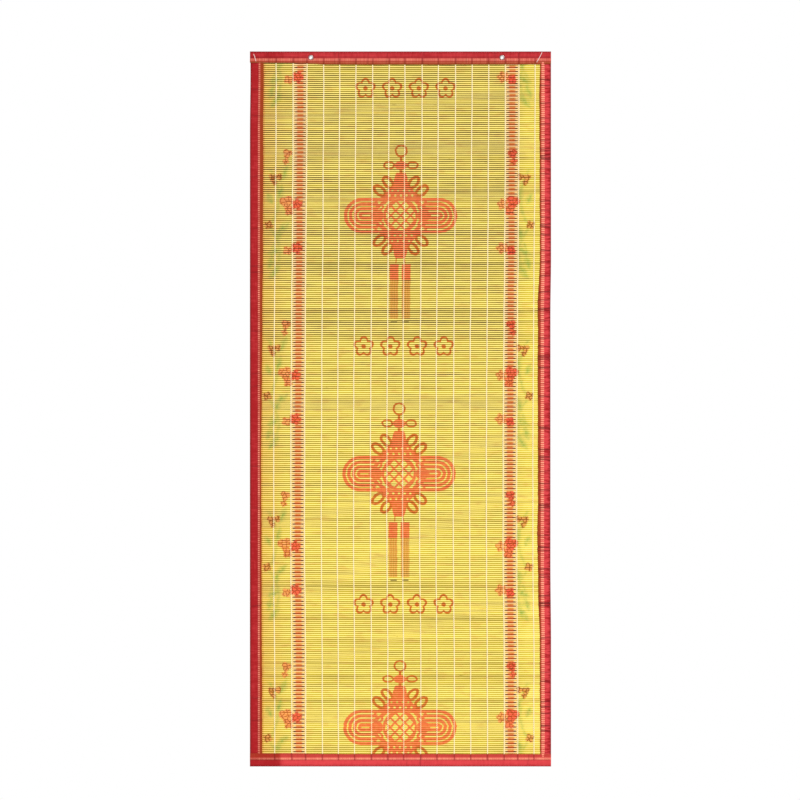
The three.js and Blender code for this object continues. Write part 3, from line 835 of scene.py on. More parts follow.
def bamboo_material(colours, design):
    """Split bamboo, planed and roller-printed: satin strips with long fibres, each of its own tone."""
    material, tree, shader = start_material("printed split bamboo")
    place = add_node(tree, "ShaderNodeAttribute", {"attribute_name": "print_at"}, None, 1)
    tone, bare, groove = (
        add_node(tree, "ShaderNodeAttribute", {"attribute_name": name}, None, 2)
        for name in ("tone", "bare", "groove")
    )
    # Fibres are about 0.4 mm wide and 90 mm long. They are drawn 1.8 mm wide so that they show.
    stretched = add_node(tree, "ShaderNodeMapping", None, {"Vector": place, "Scale": (1 / 90, 1 / 1.8, 0)})
    fibre = add_node(tree, "ShaderNodeTexNoise", None,
                     {"Vector": stretched, "Scale": 1.0, "Detail": 4.0, "Roughness": 0.65})
    # Slow changes of tone over a hand's width, where the print went on unevenly
    broad = add_node(tree, "ShaderNodeMapping", None, {"Vector": place, "Scale": (1 / 140, 1 / 70, 0)})
    patch = add_node(tree, "ShaderNodeTexNoise", None, {"Vector": broad, "Scale": 1.0, "Detail": 2.0})
    # Scars of the cane, about 30 mm long and as tall as a splint
    marks = add_node(tree, "ShaderNodeMapping", None, {"Vector": place, "Scale": (1 / 34, 1 / 4.5, 0)})
    scar = add_node(tree, "ShaderNodeTexNoise", None, {"Vector": marks, "Scale": 1.0, "Detail": 3.0})
    shade = work_out(tree, {"fibre": fibre, "tone": tone, "patch": patch, "scar": scar}, (
        ("f", "MULTIPLY_ADD", "fibre", 0.45, -0.35), ("p", "MULTIPLY_ADD", "patch", 0.36, "f"),
        ("t", "MULTIPLY_ADD", "tone", 0.2, "p"), ("deep", "MULTIPLY_ADD", "scar", 9.0, -6.2),
        ("mark", "MAXIMUM", "deep", 0), ("most", "MINIMUM", "mark", 0.5),
        ("darken", "ADD", "t", "most"), ("amount", "MAXIMUM", "darken", 0),
    ))["amount"]
    ground = add_node(tree, "ShaderNodeMix", INK_OVER,
                      {0: shade, 6: colours.ground, 7: colours.dark_ground}, 2)
    # Thin places in the yellow, about 45 mm long and two splints tall, let the tan cane through
    thin = add_node(tree, "ShaderNodeMapping", None, {"Vector": place, "Scale": (1 / 45, 1 / 12, 0)})
    worn = add_node(tree, "ShaderNodeTexNoise", None, {"Vector": thin, "Scale": 1.0, "Detail": 2.0})
    tan = work_out(tree, {"n": worn}, (
        ("a", "MULTIPLY_ADD", "n", 2.6, -1.4), ("b", "MAXIMUM", "a", 0), ("r", "MINIMUM", "b", 0.4),
    ))["r"]
    ground = add_node(tree, "ShaderNodeMix", INK_OVER, {0: tan, 6: ground, 7: colours.tan_ground}, 2)
    # The yellow turns a little orange towards the left binding, and most of all along its edge
    across = add_node(tree, "ShaderNodeSeparateXYZ", None, {0: place}, 0)
    margin = work_out(tree, {"x": across}, (
        ("slow", "MULTIPLY_ADD", "x", -0.006, -1.8),
        ("least", "MAXIMUM", "slow", 0), ("most", "MINIMUM", "least", 0.35),
        ("close", "ADD", "x", 364.75), ("fast", "MULTIPLY", "close", -0.2),
        ("none", "MAXIMUM", "fast", 0), ("some", "MINIMUM", "none", 0.4), ("both", "ADD", "most", "some"),
    ))["both"]
    ground = add_node(tree, "ShaderNodeMix", INK_OVER, {0: margin, 6: ground, 7: colours.margin}, 2)
    printed = design_over(tree, design, ground, groove)
    aged = work_out(tree, {"fibre": fibre, "tone": tone}, (("r", "MULTIPLY_ADD", "tone", 0.4, "fibre"),))["r"]
    raw = add_node(tree, "ShaderNodeMix", INK_OVER,
                   {0: aged, 6: colours.bare_bamboo, 7: colours.bare_fibre}, 2)
    colour = add_node(tree, "ShaderNodeMix", INK_OVER, {0: bare, 6: printed, 7: raw}, 2)
    tree.links.new(colour, shader.inputs["Base Color"])
    rough = work_out(tree, {"fibre": fibre}, (("r", "MULTIPLY_ADD", "fibre", 0.25, 0.4),))["r"]
    tree.links.new(rough, shader.inputs["Roughness"])
    bump = add_node(tree, "ShaderNodeBump", None, {"Strength": 0.25, "Distance": 0.0003, "Height": fibre})
    tree.links.new(bump, shader.inputs["Normal"])
    shader.inputs["Specular IOR Level"].default_value = 0.06
    return material


def yarn_material(colours, design):
    """Spun cotton: a matt cream yarn with a fine twist, tinted where the print crosses it."""
    material, tree, shader = start_material("spun cotton yarn")
    place = add_node(tree, "ShaderNodeAttribute", {"attribute_name": "print_at"}, None, 1)
    # Plies show as low ridges about 6 mm apart down the yarn
    plies = add_node(tree, "ShaderNodeTexWave", {"bands_direction": "DIAGONAL"},
                     {"Vector": place, "Scale": 0.1, "Distortion": 1.5, "Detail": 2.0})
    hairs = add_node(tree, "ShaderNodeTexNoise", None, {"Vector": place, "Scale": 0.7, "Detail": 3.0})
    printed = design_over(tree, design, colours.yarn)
    tinted = add_node(tree, "ShaderNodeMix", INK_OVER, {0: 0.5, 6: colours.yarn, 7: printed}, 2)
    soil = work_out(tree, {"h": hairs}, (("r", "MULTIPLY_ADD", "h", 0.35, -0.1),))["r"]
    soiled = add_node(tree, "ShaderNodeMix", INK_OVER, {0: soil, 6: tinted, 7: colours.yarn_soil}, 2)
    tree.links.new(soiled, shader.inputs["Base Color"])
    bump = add_node(tree, "ShaderNodeBump", None, {"Strength": 0.4, "Distance": 0.0003, "Height": plies})
    tree.links.new(bump, shader.inputs["Normal"])
    shader.inputs["Roughness"].default_value = 0.9
    shader.inputs["Specular IOR Level"].default_value = 0.15
    shader.inputs["Sheen Weight"].default_value = 0.2
    return material


# Length of one bead of a seam, and where along a tape the beads start, as an angle
SEAM_BEAD = 5.315
SEAM_BEAD_START = 2.98


def satin_material(colours):
    """Polyester satin tape: its streaky gloss, ridge highlight and shade in creases and on the flange are
    painted in.
    """
    material, tree, shader = start_material("polyester satin tape")
    place = add_node(tree, "ShaderNodeAttribute", {"attribute_name": "tape_at"}, None, 1)
    shine, ridge, flange, crease, gathered, beads = (
        add_node(tree, "ShaderNodeAttribute", {"attribute_name": name}, None, 2)
        for name in ("shine", "ridge", "flange", "crease", "gathered", "beads")
    )
    # Floats run along the tape, drawn 1.4 mm wide so that they show, and the tone drifts over 90 mm; both
    # paint the gloss as lighter and darker light
    floats = add_node(tree, "ShaderNodeMapping", None, {"Vector": place, "Scale": (1 / 45, 1 / 1.4, 0)})
    streak = add_node(tree, "ShaderNodeTexNoise", None,
                      {"Vector": floats, "Scale": 1.0, "Detail": 3.0, "Roughness": 0.6})
    drift = add_node(tree, "ShaderNodeMapping", None, {"Vector": place, "Scale": (1 / 90, 1 / 40, 0)})
    cloud = add_node(tree, "ShaderNodeTexNoise", None, {"Vector": drift, "Scale": 1.0, "Detail": 2.0})
    # Ribs of the weave, about 1.3 mm apart along the tape
    weave = add_node(tree, "ShaderNodeTexWave", {"bands_direction": "X"},
                     {"Vector": place, "Scale": 0.25, "Distortion": 0.8, "Detail": 1.0})
    # Painted light and shade of small gathers across the tape, about 5 mm apart and 25 mm long
    gathers = add_node(tree, "ShaderNodeMapping", None, {"Vector": place, "Scale": (1 / 5, 1 / 25, 0)})
    gather = add_node(tree, "ShaderNodeTexNoise", None, {"Vector": gathers, "Scale": 1.0, "Detail": 2.0})
    # How much brighter light is painted on the satin
    bright = work_out(tree, {
        "shine": shine, "streak": streak, "cloud": cloud, "gather": gather, "gathered": gathered,
    }, (
        ("s", "MULTIPLY_ADD", "streak", 1.1, -0.55), ("c", "MULTIPLY_ADD", "cloud", 0.6, -0.3),
        ("both", "ADD", "s", "c"), ("middle", "SUBTRACT", "gather", 0.5),
        ("fold", "MULTIPLY", "middle", "gathered"), ("all", "MULTIPLY_ADD", "fold", 2.4, "both"),
        ("r", "ADD", "all", "shine"),
    ))["r"]
    # The seam parts the ridge's painted highlight into small beads, one for each zigzag of about 5.3 mm
    along = add_node(tree, "ShaderNodeSeparateXYZ", None, {0: place}, 0)
    beaded = work_out(tree, {"x": along, "ridge": ridge, "beads": beads}, (
        ("turn", "MULTIPLY_ADD", "x", 2 * math.pi / SEAM_BEAD, SEAM_BEAD_START), ("wave", "COSINE", "turn"),
        ("bead", "MULTIPLY_ADD", "wave", "beads", 0.65), ("r", "MULTIPLY", "ridge", "bead"),
    ))["r"]
    # The satin in its darker and brighter light, then painted shade on the flange, the painted highlight on
    # the ridge and painted shade in creases
    colour = colours.satin_deep
    for amount, over in (
        (bright, colours.satin_bright), (flange, colours.satin_flange_shade),
        (beaded, colours.satin_highlight), (crease, colours.satin_crease_shade),
    ):
        colour = add_node(tree, "ShaderNodeMix", INK_OVER, {0: amount, 6: colour, 7: over}, 2)
    tree.links.new(colour, shader.inputs["Base Color"])
    bump = add_node(tree, "ShaderNodeBump", None, {"Strength": 0.15, "Distance": 0.0002, "Height": weave})
    tree.links.new(bump, shader.inputs["Normal"])
    rough = work_out(tree, {"s": streak}, (("r", "MULTIPLY_ADD", "s", 0.2, 0.32),))["r"]
    tree.links.new(rough, shader.inputs["Roughness"])
    shader.inputs["Specular IOR Level"].default_value = 0.1
    return material


def thread_material(name, colour):
    """Spun polyester sewing thread: a soft sheen and a fine twist of about 1 mm."""
    material, tree, shader = start_material(name)
    where = add_node(tree, "ShaderNodeTexCoord", None, None, 3)
    twist = add_node(tree, "ShaderNodeTexNoise", None, {"Vector": where, "Scale": 1000.0, "Detail": 2.0})
    darker = tuple(0.6 * c for c in colour[:3])
    amount = work_out(tree, {"t": twist}, (("r", "MULTIPLY_ADD", "t", 0.9, -0.15),))["r"]
    twisted = add_node(tree, "ShaderNodeMix", INK_OVER, {0: amount, 6: colour, 7: (*darker, 1.0)}, 2)
    tree.links.new(twisted, shader.inputs["Base Color"])
    bump = add_node(tree, "ShaderNodeBump", None, {"Strength": 0.3, "Distance": 0.0002, "Height": twist})
    tree.links.new(bump, shader.inputs["Normal"])
    shader.inputs["Roughness"].default_value = 0.55
    shader.inputs["Specular IOR Level"].default_value = 0.3
    return material


def nickel_material(colours):
    """Nickel-plated steel, rolled and tumbled: a pale warm mirror with fine scuffs."""
    material, tree, shader = start_material("nickel-plated steel")
    where = add_node(tree, "ShaderNodeTexCoord", None, None, 3)
    scuffs = add_node(tree, "ShaderNodeTexNoise", None, {"Vector": where, "Scale": 900.0, "Detail": 3.0})
    rough = work_out(tree, {"s": scuffs}, (("r", "MULTIPLY_ADD", "s", 0.25, 0.16),))["r"]
    tree.links.new(rough, shader.inputs["Roughness"])
    plate = add_node(tree, "ShaderNodeMix", INK_OVER,
                     {0: scuffs, 6: colours.nickel, 7: colours.nickel_scuff}, 2)
    tree.links.new(plate, shader.inputs["Base Color"])
    shader.inputs["Metallic"].default_value = 1.0
    return material


def floor_material(colour):
    """Matt painted board: pale, with barely visible roller texture about 4 mm across."""
    material, tree, shader = start_material("matt painted board")
    where = add_node(tree, "ShaderNodeTexCoord", None, None, 3)
    roller = add_node(tree, "ShaderNodeTexNoise", None, {"Vector": where, "Scale": 250.0})
    bump = add_node(tree, "ShaderNodeBump", None, {"Strength": 0.05, "Distance": 0.0005, "Height": roller})
    tree.links.new(bump, shader.inputs["Normal"])
    shader.inputs["Base Color"].default_value = colour
    shader.inputs["Roughness"].default_value = 0.8
    return material


def find_or_make_design(colours):
    """The print's node group, which the splints and the yarns share."""
    return bpy.data.node_groups.get("Printed design") or printed_design(colours)


# A splint's section, from the middle of its depth: up the curtain, towards the back, how far it is
# down in the groove and how bare of print it is. The front corners are eased, so that neighbours
# leave a dark groove, and the back keeps the rounder inside of the cane.
SPLINT_SECTION = np.array([
    (-0.5, -1.0, 0, 0), (0.5, -1.0, 0, 0), (0.54, -0.95, 1, 0), (0.8, -0.5, 1, 0), (1.0, 0.2, 1, 0),
    (0.8, 1.0, 0, 1), (-0.8, 1.0, 0, 1), (-1.0, 0.2, 1, 0), (-0.8, -0.5, 1, 0), (-0.54, -0.95, 1, 0),
])


def spread(rng, amount):
    """A random value for each splint, up to an amount to either side."""
    return rng.uniform(-amount, amount, (SPLINT_COUNT, 1))


def slow_wave(rng, run, most_turns):
    """A slow wave along each splint, with its own number of turns and its own start."""
    return np.sin(2 * math.pi * (run * spread(rng, most_turns) + spread(rng, 1)))


def splint_looks(rng, depth, x):
    """Tone of each splint, and how much shade and dust are painted in its grooves at each station."""
    tone = np.clip(rng.normal(0, TONE["spread"], SPLINT_COUNT), TONE["least"], TONE["most"])
    tone += (rng.uniform(0, 1, SPLINT_COUNT) < TONE["odd_share"]) * TONE["odd"]
    tone += TONE["upper"] * (1 - smooth(0, TONE["upper_end"], depth))
    groove_darkening = (GROOVE["top"] - GROOVE["less"] * smooth(*GROOVE["fades"], depth))[:, None]
    groove_darkening = groove_darkening * rng.uniform(*GROOVE["along"], x.shape)
    groove_darkening *= 1 + spread(rng, GROOVE["each"])
    groove_darkening *= 1 - GROOVE["right"] * smooth(*GROOVE["right_at"], x)
    streaks = STREAK["darker"] * (1 - STREAK["less"] * smooth(*STREAK["fades"], depth))
    groove_darkening += streaks[:, None] * (rng.uniform(0, 1, x.shape) < STREAK["share"])
    return tone, groove_darkening


class CURTAIN_OT_splints(bpy.types.Operator):
    """Lay the bamboo splints, each a little uneven, in the place of the mat"""
    bl_idname = "curtain.splints"
    bl_label = "Bamboo splints"

    def execute(self, context):
        sizes, colours = context.scene.curtain.sizes, context.scene.curtain.colours
        rng = np.random.default_rng(SEED)
        pitch, height = sizes.splint_pitch / MM, sizes.splint_height / MM
        thick = sizes.splint_thickness / MM
        number = np.arange(SPLINT_COUNT)
        depth = splint_depth(number, pitch, 0.0)
        run = np.linspace(0, 1, SPLINT_STATIONS)
        start = left_edge(depth) + MAT_INSET["left"]
        end = right_edge(depth) - MAT_INSET["right"]
        x = start[:, None] + (end - start)[:, None] * run

        # Each splint sits a little off its place, tilts, wanders and differs in size
        wander = UNEVEN["wander"] * slow_wave(rng, run, 1.6) + spread(rng, UNEVEN["tilt"]) * (run - 0.5)
        place = splint_depth(number[:, None], pitch, x)
        middle = place + spread(rng, UNEVEN["place"]) + wander
        y = sway(depth)[:, None] + spread(rng, UNEVEN["depth"]) + UNEVEN["wave"] * slow_wave(rng, run, 1.2)
        # A splint fills the room between its neighbours, so it is taller in the wider stretches
        half_up = height / 2 * np.gradient(place, axis=0) / pitch * (1 + spread(rng, UNEVEN["height"]))
        half_deep = thick / 2 * (1 + spread(rng, UNEVEN["thickness"]))

        up, away, groove, bare = SPLINT_SECTION.T
        points = np.empty((SPLINT_COUNT, SPLINT_STATIONS, len(up), 3))
        points[..., 0] = x[:, :, None]
        points[..., 1] = y[:, :, None] + (half_deep * away)[:, None, :]
        above = half_up[:, :, None] * up
        points[..., 2] = -middle[:, :, None] + above

        print_at = np.empty_like(points)
        slip = spread(rng, UNEVEN["slip"])[:, :, None]
        print_at[..., 0] = points[..., 0] - lean(depth)[:, None, None] + slip
        print_at[..., 1] = -points[..., 2]
        # The third value is the height above the nearest rung, along the lower edge of every second splint
        beaded = (number % 2 == 0)[:, None, None]
        print_at[..., 2] = np.where(beaded, above + pitch / 2, above - pitch / 2)
        tone, groove_darkening = splint_looks(rng, depth, x)
        shape = points.shape[:3]
        attributes = {
            "print_at": print_at.reshape(-1, 3),
            "tone": np.broadcast_to(tone[:, None, None], shape).ravel(),
            # groove: how much shade and dust are painted at each point down in a groove
            "groove": (groove_darkening[:, :, None] * groove).ravel(),
            "bare": np.broadcast_to(bare, shape).ravel(),
        }
        faces = swept_faces(SPLINT_COUNT, SPLINT_STATIONS, len(up))
        material = bamboo_material(colours, find_or_make_design(colours))
        piece = new_piece("bamboo_splints", points, faces, material, ["bamboo_mat"],
                          attributes, shade_smooth=False)
        return {"FINISHED"}


class CURTAIN_OT_warps(bpy.types.Operator):
    """Twine two yarns down each warp line, before and behind the splints by turns"""
    bl_idname = "curtain.warps"
    bl_label = "Warp yarns"

    def execute(self, context):
        sizes, colours = context.scene.curtain.sizes, context.scene.curtain.colours
        pitch = sizes.splint_pitch / MM
        half_wide, half_thick = sizes.yarn_width / MM / 2, sizes.yarn_thickness / MM / 2
        reach = sizes.splint_thickness / MM / 2 + half_thick
        step = (np.arange(SPLINT_COUNT - 1)[:, None] + np.array(YARN_CROSSING)).ravel()
        step = np.concatenate([[-YARN_END], step, [SPLINT_COUNT - 1 + YARN_END]])
        stations = len(step)
        phase = math.pi * step
        material = yarn_material(colours, find_or_make_design(colours))
        lines = warp_positions()
        rng = np.random.default_rng(SEED + 1)
        for part, numbers in enumerate(np.array_split(np.arange(WARP_COUNT), YARN_PIECES)):
            paths = []
            for number in numbers:
                depth = splint_depth(step, pitch, lines[number])
                wander = YARN_WANDER["by"] * uneven(depth, YARN_WANDER["pitch"], rng)
                for turn in (0, math.pi):
                    over = np.clip(YARN_FLAT * np.cos(phase + turn), -1, 1)
                    x = lines[number] + lean(depth) + wander + YARN_SWING * np.sin(phase + turn)
                    paths.append(np.stack([x, sway(depth) - reach * over, -depth], -1))
            paths = np.array(paths)
            along = np.gradient(paths, axis=1)
            side = np.zeros_like(paths)
            side[..., 0] = 1
            out = np.cross(along, side)
            out /= np.linalg.norm(out, axis=-1, keepdims=True)
            points = rods(paths, side, out, half_wide, half_thick, YARN_SIDES)
            off_rung = np.full(points.shape[:3], -pitch / 2)
            print_at = np.stack([points[..., 0] - lean(-points[..., 2]), -points[..., 2], off_rung], -1)
            faces = swept_faces(len(paths), stations, YARN_SIDES)
            nodes = [f"warp_{number + 1:02d}" for number in numbers]
            new_piece(f"warp_yarns_{part + 1}", points, faces, material, nodes,
                      {"print_at": print_at.reshape(-1, 3)})
        return {"FINISHED"}


# Shape of every tape: height of its hem, how far from the hem its ridge rises and over how much it falls
# again, the least height, how far and over how much its inner edge is turned in, and columns of points on
# its flange, as shares of the way from the ridge to the inner edge
HEM_HEIGHT = 1.0
RIDGE_RISE = (-1.0, 2.2)
RIDGE_FALL = 3.2
LEAST_HEIGHT = 0.75
EDGE_TURN = dict(by=0.35, over=1.2)
FLANGE_SHARES = (0.33, 0.66)

# Unevenness of a tape: how far it goes, and the distance from one turn to the next
HEM_UNEVEN = dict(by=0.18, pitch=35)
FOLD_UNEVEN = dict(by=0.3, pitch=120)
ACROSS_EDGE_UNEVEN = dict(by=0.35, pitch=22)
SIDE_EDGE_UNEVEN = dict(by=0.45, pitch=8)
SIDE_WAVE_PITCH = 90
PULLED_ENDS = (-320, -170)
PUCKER_FADE = 40

# Creases: how near a tape's end they come, how deep they are, how far they slant, the dent of one, the lip
# beside it, and the reach of its painted shade
CREASE_END = 30
CREASE_DEEP = (0.55, 1.0)
CREASE_SLANT = 0.12
CREASE_DENT = dict(by=0.75, reach=1.6)
CREASE_LIP = dict(by=0.3, off=4, reach=2.5)
CREASE_SHADE_REACH = 1.7

# Ticks, where a warp line pulls an across binding in: places beside one, how far the cloth puffs between
# them, how far one pulls, its reach, and its painted shade
TICK_STATIONS = (-1.1, 0.0, 1.1)
TICK_PUFF = 0.25
TICK_PULL = 0.9
TICK_REACH = 1.7
TICK_SHADE = 0.5

# Other painted shades: along the line of sewing before the ridge, along the crease of the fold, and in the
# ring that an eyelet presses into the cloth
SEWN_LINE = dict(before=2.4, reach=2.0)
FOLD_LINE = dict(inside=1.0, reach=2.0, shade=0.6)
PRESS_SHADE = 0.75

# Left end of the across bindings, where a side one lies under it: between which places, how much less light
# is painted on the satin and how much fainter the ridge's painted highlight is. The top one has a second line
# of painted highlight near its inner edge.
LAPPED = {
    "top": dict(ends=(-330, -305), less_light=0.25, fainter=0.0),
    "bottom": dict(ends=(-326, -312), less_light=0.95, fainter=0.5),
}
# The second line of painted highlight: how far in, its reach and its strength
SECOND_LINE = dict(inside=30.0, reach=1.3, pale=0.55)


class Tape:
    """One binding: where its two faces lie, measured along the edge and inwards from it."""

    def __init__(self, side):
        self.side = side
        self.across = side in ("top", "bottom")
        for key, value in BINDINGS[side].items():
            setattr(self, key, value)
        self.rng_seed = SEED + 10 + sorted(BINDINGS).index(side)
        if self.across:
            self.start, self.end = -WIDTH / 2, WIDTH / 2
        else:
            self.start, self.end = SIDE_LAP_END, HEIGHT - SIDE_LAP_END
        count = int((self.end - self.start) / self.step) + 1
        self.stations = np.linspace(self.start, self.end, count)
        self.lines = warp_positions() + lean(HEIGHT if side == "bottom" else 0)
        if self.across:
            beside = (self.lines[:, None] + np.array(TICK_STATIONS)).ravel()
            self.stations = np.sort(np.concatenate([self.stations, beside]))
        rng = np.random.default_rng(self.rng_seed)
        self.faces = [self.relief(rng) for _ in ("front", "back")]
        self.inner = self.width + self.inner_wave(rng)

    def relief(self, rng):
        """Puckers, creases and waves of one face, at each station."""
        at = self.stations
        ends = smooth(0, PUCKER_FADE, np.minimum(at - self.start, self.end - at))
        turns = (at + 0.3 * self.repeat * uneven(at, 3 * self.repeat, rng)) / self.repeat
        scallop = 2 * np.abs(np.sin(math.pi * turns)) ** 0.7 - 1
        pucker = self.pucker * (0.7 * scallop + 0.45 * uneven(at, self.repeat / 2, rng))
        if self.across:
            pucker = pucker + TICK_PUFF - TICK_PULL * self.ticks(at)
        places = rng.uniform(self.start + CREASE_END, self.end - CREASE_END, self.creases)
        deep = rng.uniform(*CREASE_DEEP, self.creases) * min(1.0, 0.3 + 0.6 * self.gathered)
        slant = rng.uniform(-CREASE_SLANT, CREASE_SLANT, self.creases)
        return dict(
            pucker=pucker * ends, creases=list(zip(places, deep, slant)),
            speckle=rng.uniform(0.35, 1.0, len(at)),
            hem=HEM_UNEVEN["by"] * uneven(at, HEM_UNEVEN["pitch"], rng),
            fold=FOLD_UNEVEN["by"] * uneven(at, FOLD_UNEVEN["pitch"], rng),
        )

    def ticks(self, at):
        """How near a place is to a warp line, which pulls the across bindings in."""
        gap = np.abs(np.asarray(at)[..., None] - self.lines).min(-1)
        return hump(gap, TICK_REACH)

    def inner_wave(self, rng):
        """How far the inner edge lies beyond the tape's width, at each station."""
        at = self.stations
        if self.across:
            pulled = self.pulled * (1 - smooth(*PULLED_ENDS, at))
            small = ACROSS_EDGE_UNEVEN["by"] * uneven(at, ACROSS_EDGE_UNEVEN["pitch"], rng)
            return self.wave * np.cos(math.pi * at / WIDTH) + small - pulled
        broad = self.wave * uneven(at, SIDE_WAVE_PITCH, rng)
        small = SIDE_EDGE_UNEVEN["by"] * uneven(at, SIDE_EDGE_UNEVEN["pitch"], rng)
        return extra_width(self.side, at) + broad + small

    def height(self, face, at, u):
        """How far a face stands off the curtain's middle."""
        relief = self.faces[face]
        pucker = np.interp(at, self.stations, relief["pucker"])
        hem = np.interp(at, self.stations, relief["hem"])
        fold = np.interp(at, self.stations, relief["fold"])
        ridge = self.ridge + pucker
        rise = smooth(self.hem + RIDGE_RISE[0], self.hem + RIDGE_RISE[1], u)
        fall = smooth(self.hem + self.crest, self.hem + self.crest + RIDGE_FALL, u)
        base = HEM_HEIGHT + hem + fold * np.sin(math.pi * u / self.hem) ** 2
        level = base + (ridge - base) * rise - (ridge - self.flange) * fall
        for place, deep, slant in relief["creases"]:
            off = at - place - slant * (u - self.hem)
            level = level - CREASE_DENT["by"] * deep * hump(off, CREASE_DENT["reach"])
            level = level + CREASE_LIP["by"] * deep * hump(off - CREASE_LIP["off"], CREASE_LIP["reach"])
        if self.side == "top":
            level = level + (EYELET_SEAT - level) * self.pressed(at, u)
        return np.maximum(level, LEAST_HEIGHT)

    def pressed(self, at, u):
        """How far the eyelets press the cloth flat at a place, from 0 to 1."""
        found = 0 * at + 0 * u
        for node in EYELETS:
            low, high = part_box(node)
            centre = (low + high) / 2 / MM
            away = np.hypot(at - centre.x, u + centre.z)
            found = np.maximum(found, 1 - smooth(*EYELET_PRESS_ENDS, away))
        return found

    def crease_shading(self, face, at, u):
        """How much shade is painted at a place, from 0 to 1: in creases, along the sewing and the fold, in
        ticks and in eyelets' rings.
        """
        relief = self.faces[face]
        found = self.sewn * hump(u - self.hem + SEWN_LINE["before"], SEWN_LINE["reach"]) + 0 * at
        found = np.maximum(found, FOLD_LINE["shade"] * hump(u - FOLD_LINE["inside"], FOLD_LINE["reach"]))
        if self.across:
            found = np.maximum(found, TICK_SHADE * self.ticks(at) * smooth(self.hem - 2, self.hem, u))
        if self.side == "top":
            found = np.maximum(found, PRESS_SHADE * self.pressed(at, u))
        for place, deep, slant in relief["creases"]:
            off = at - place - slant * (u - self.hem)
            found = np.maximum(found, deep * hump(off, CREASE_SHADE_REACH))
        return found

    def bulge(self, face, at):
        """How far the ridge puffs out at a place, from 0 to 1."""
        pucker = np.interp(at, self.stations, self.faces[face]["pucker"])
        speckle = np.interp(at, self.stations, self.faces[face]["speckle"])
        return smooth(-0.8 * self.pucker, 0.9 * self.pucker, pucker) * speckle

    def edge(self, at):
        """Distance from the curtain's edge to the tape's inner edge."""
        return np.interp(at, self.stations, self.inner)

    def place(self, at, u, y):
        """Points in the curtain's own millimetres."""
        if self.side == "top":
            return np.stack([at, y + sway(0.0), -u], -1)
        if self.side == "bottom":
            return np.stack([at, y + sway(HEIGHT), u - HEIGHT], -1)
        edge = left_edge(at) + u if self.side == "left" else right_edge(at) - u
        return np.stack([edge, y + sway(at), -at], -1)

    def columns(self):
        """Where points lie inwards from the fold, over hem, ridge and flange: a row for each station."""
        hem = self.hem
        near = [0.35, 0.9, 2.5, 7.0, 12.0, hem - 3.5, hem - 1.2]
        ridge = [hem - 0.3, hem + 0.7, hem + 1.5, hem + 2.4]
        fall = [hem + self.crest + step for step in (0.0, 0.9, 1.8, 3.0)]
        fixed = np.array(near + ridge + fall)
        inner = self.inner[:, None]
        flange = [fixed[-1] + share * (inner - fixed[-1]) for share in FLANGE_SHARES]
        fixed = np.broadcast_to(fixed, (len(inner), len(fixed)))
        return np.concatenate([fixed, *flange, inner - 0.7, inner], 1)

    def skins(self, u, thickness):
        """The tape's outside and its lining, from the front's inner edge over the fold to the back's."""
        at, inner = self.stations[:, None], self.inner[:, None]
        fold = np.zeros_like(at)
        turned = EDGE_TURN["by"] * smooth(inner - EDGE_TURN["over"], inner, u)
        front, back = (self.height(face, at, u) - turned for face in (0, 1))
        skins = []
        for inset in (0.0, thickness):
            into = np.minimum(u + 0.4 * inset * (u < 3), inner)
            skins.append(np.concatenate([
                self.place(at + 0 * u, into, -(front - inset))[:, ::-1],
                self.place(at, fold + inset, 0 * fold),
                self.place(at + 0 * u, into, back - inset),
            ], 1))
        return skins

    def looks(self, u):
        """What the satin's painted light, highlight and shade depend on, at each point of a skin."""
        across = np.concatenate([u[:, ::-1], 0 * u[:, :1], -u], 1)
        along = np.broadcast_to(self.stations[:, None], across.shape)
        front, width = across > 0, np.abs(across)
        inner = self.inner[:, None]
        crest_end = self.hem + self.crest
        # The ridge gets a painted highlight, fullest where it puffs out
        rise = smooth(self.hem - 0.6, self.hem + 1.4, width)
        rise = rise * (1 - smooth(crest_end, crest_end + 2.6, width))
        # Painted shade, in a rust-brown, on the flange below the ridge and towards the inner edge
        shadow = smooth(crest_end + 0.4, crest_end + 3.2, width)
        shadow = shadow + 0.4 * smooth(inner - 3.4, inner - 1.2, width)
        puffed = np.where(front, self.bulge(0, along), self.bulge(1, along))
        crease_shading = np.where(front, self.crease_shading(0, along, width), self.crease_shading(1, along, width))
        # Less light is painted on the outer half of the tape
        less_light = self.outer * (1 - smooth(4, 10, width))
        if self.across:
            end = LAPPED[self.side]
            lapped = 1 - smooth(*end["ends"], along)
            less_light = less_light + end["less_light"] * lapped
            rise = rise * (1 - end["fainter"] * lapped)
        if self.side == "top":
            rise = rise + SECOND_LINE["pale"] * hump(width - SECOND_LINE["inside"], SECOND_LINE["reach"])
        return {
            "tape_at": np.stack([along, across, 0 * across], -1),
            "shine": self.shine - less_light,
            "ridge": self.pale * rise * (0.25 + 0.75 * puffed),
            "flange": self.rust * shadow * (1 - 0.25 * puffed),
            # Painted shade in creases, along the sewing and the fold, in ticks and round the eyelets
            "crease": 0.95 * crease_shading,
            "gathered": self.gathered + 0 * along,
            "beads": self.beads + 0 * along,
        }


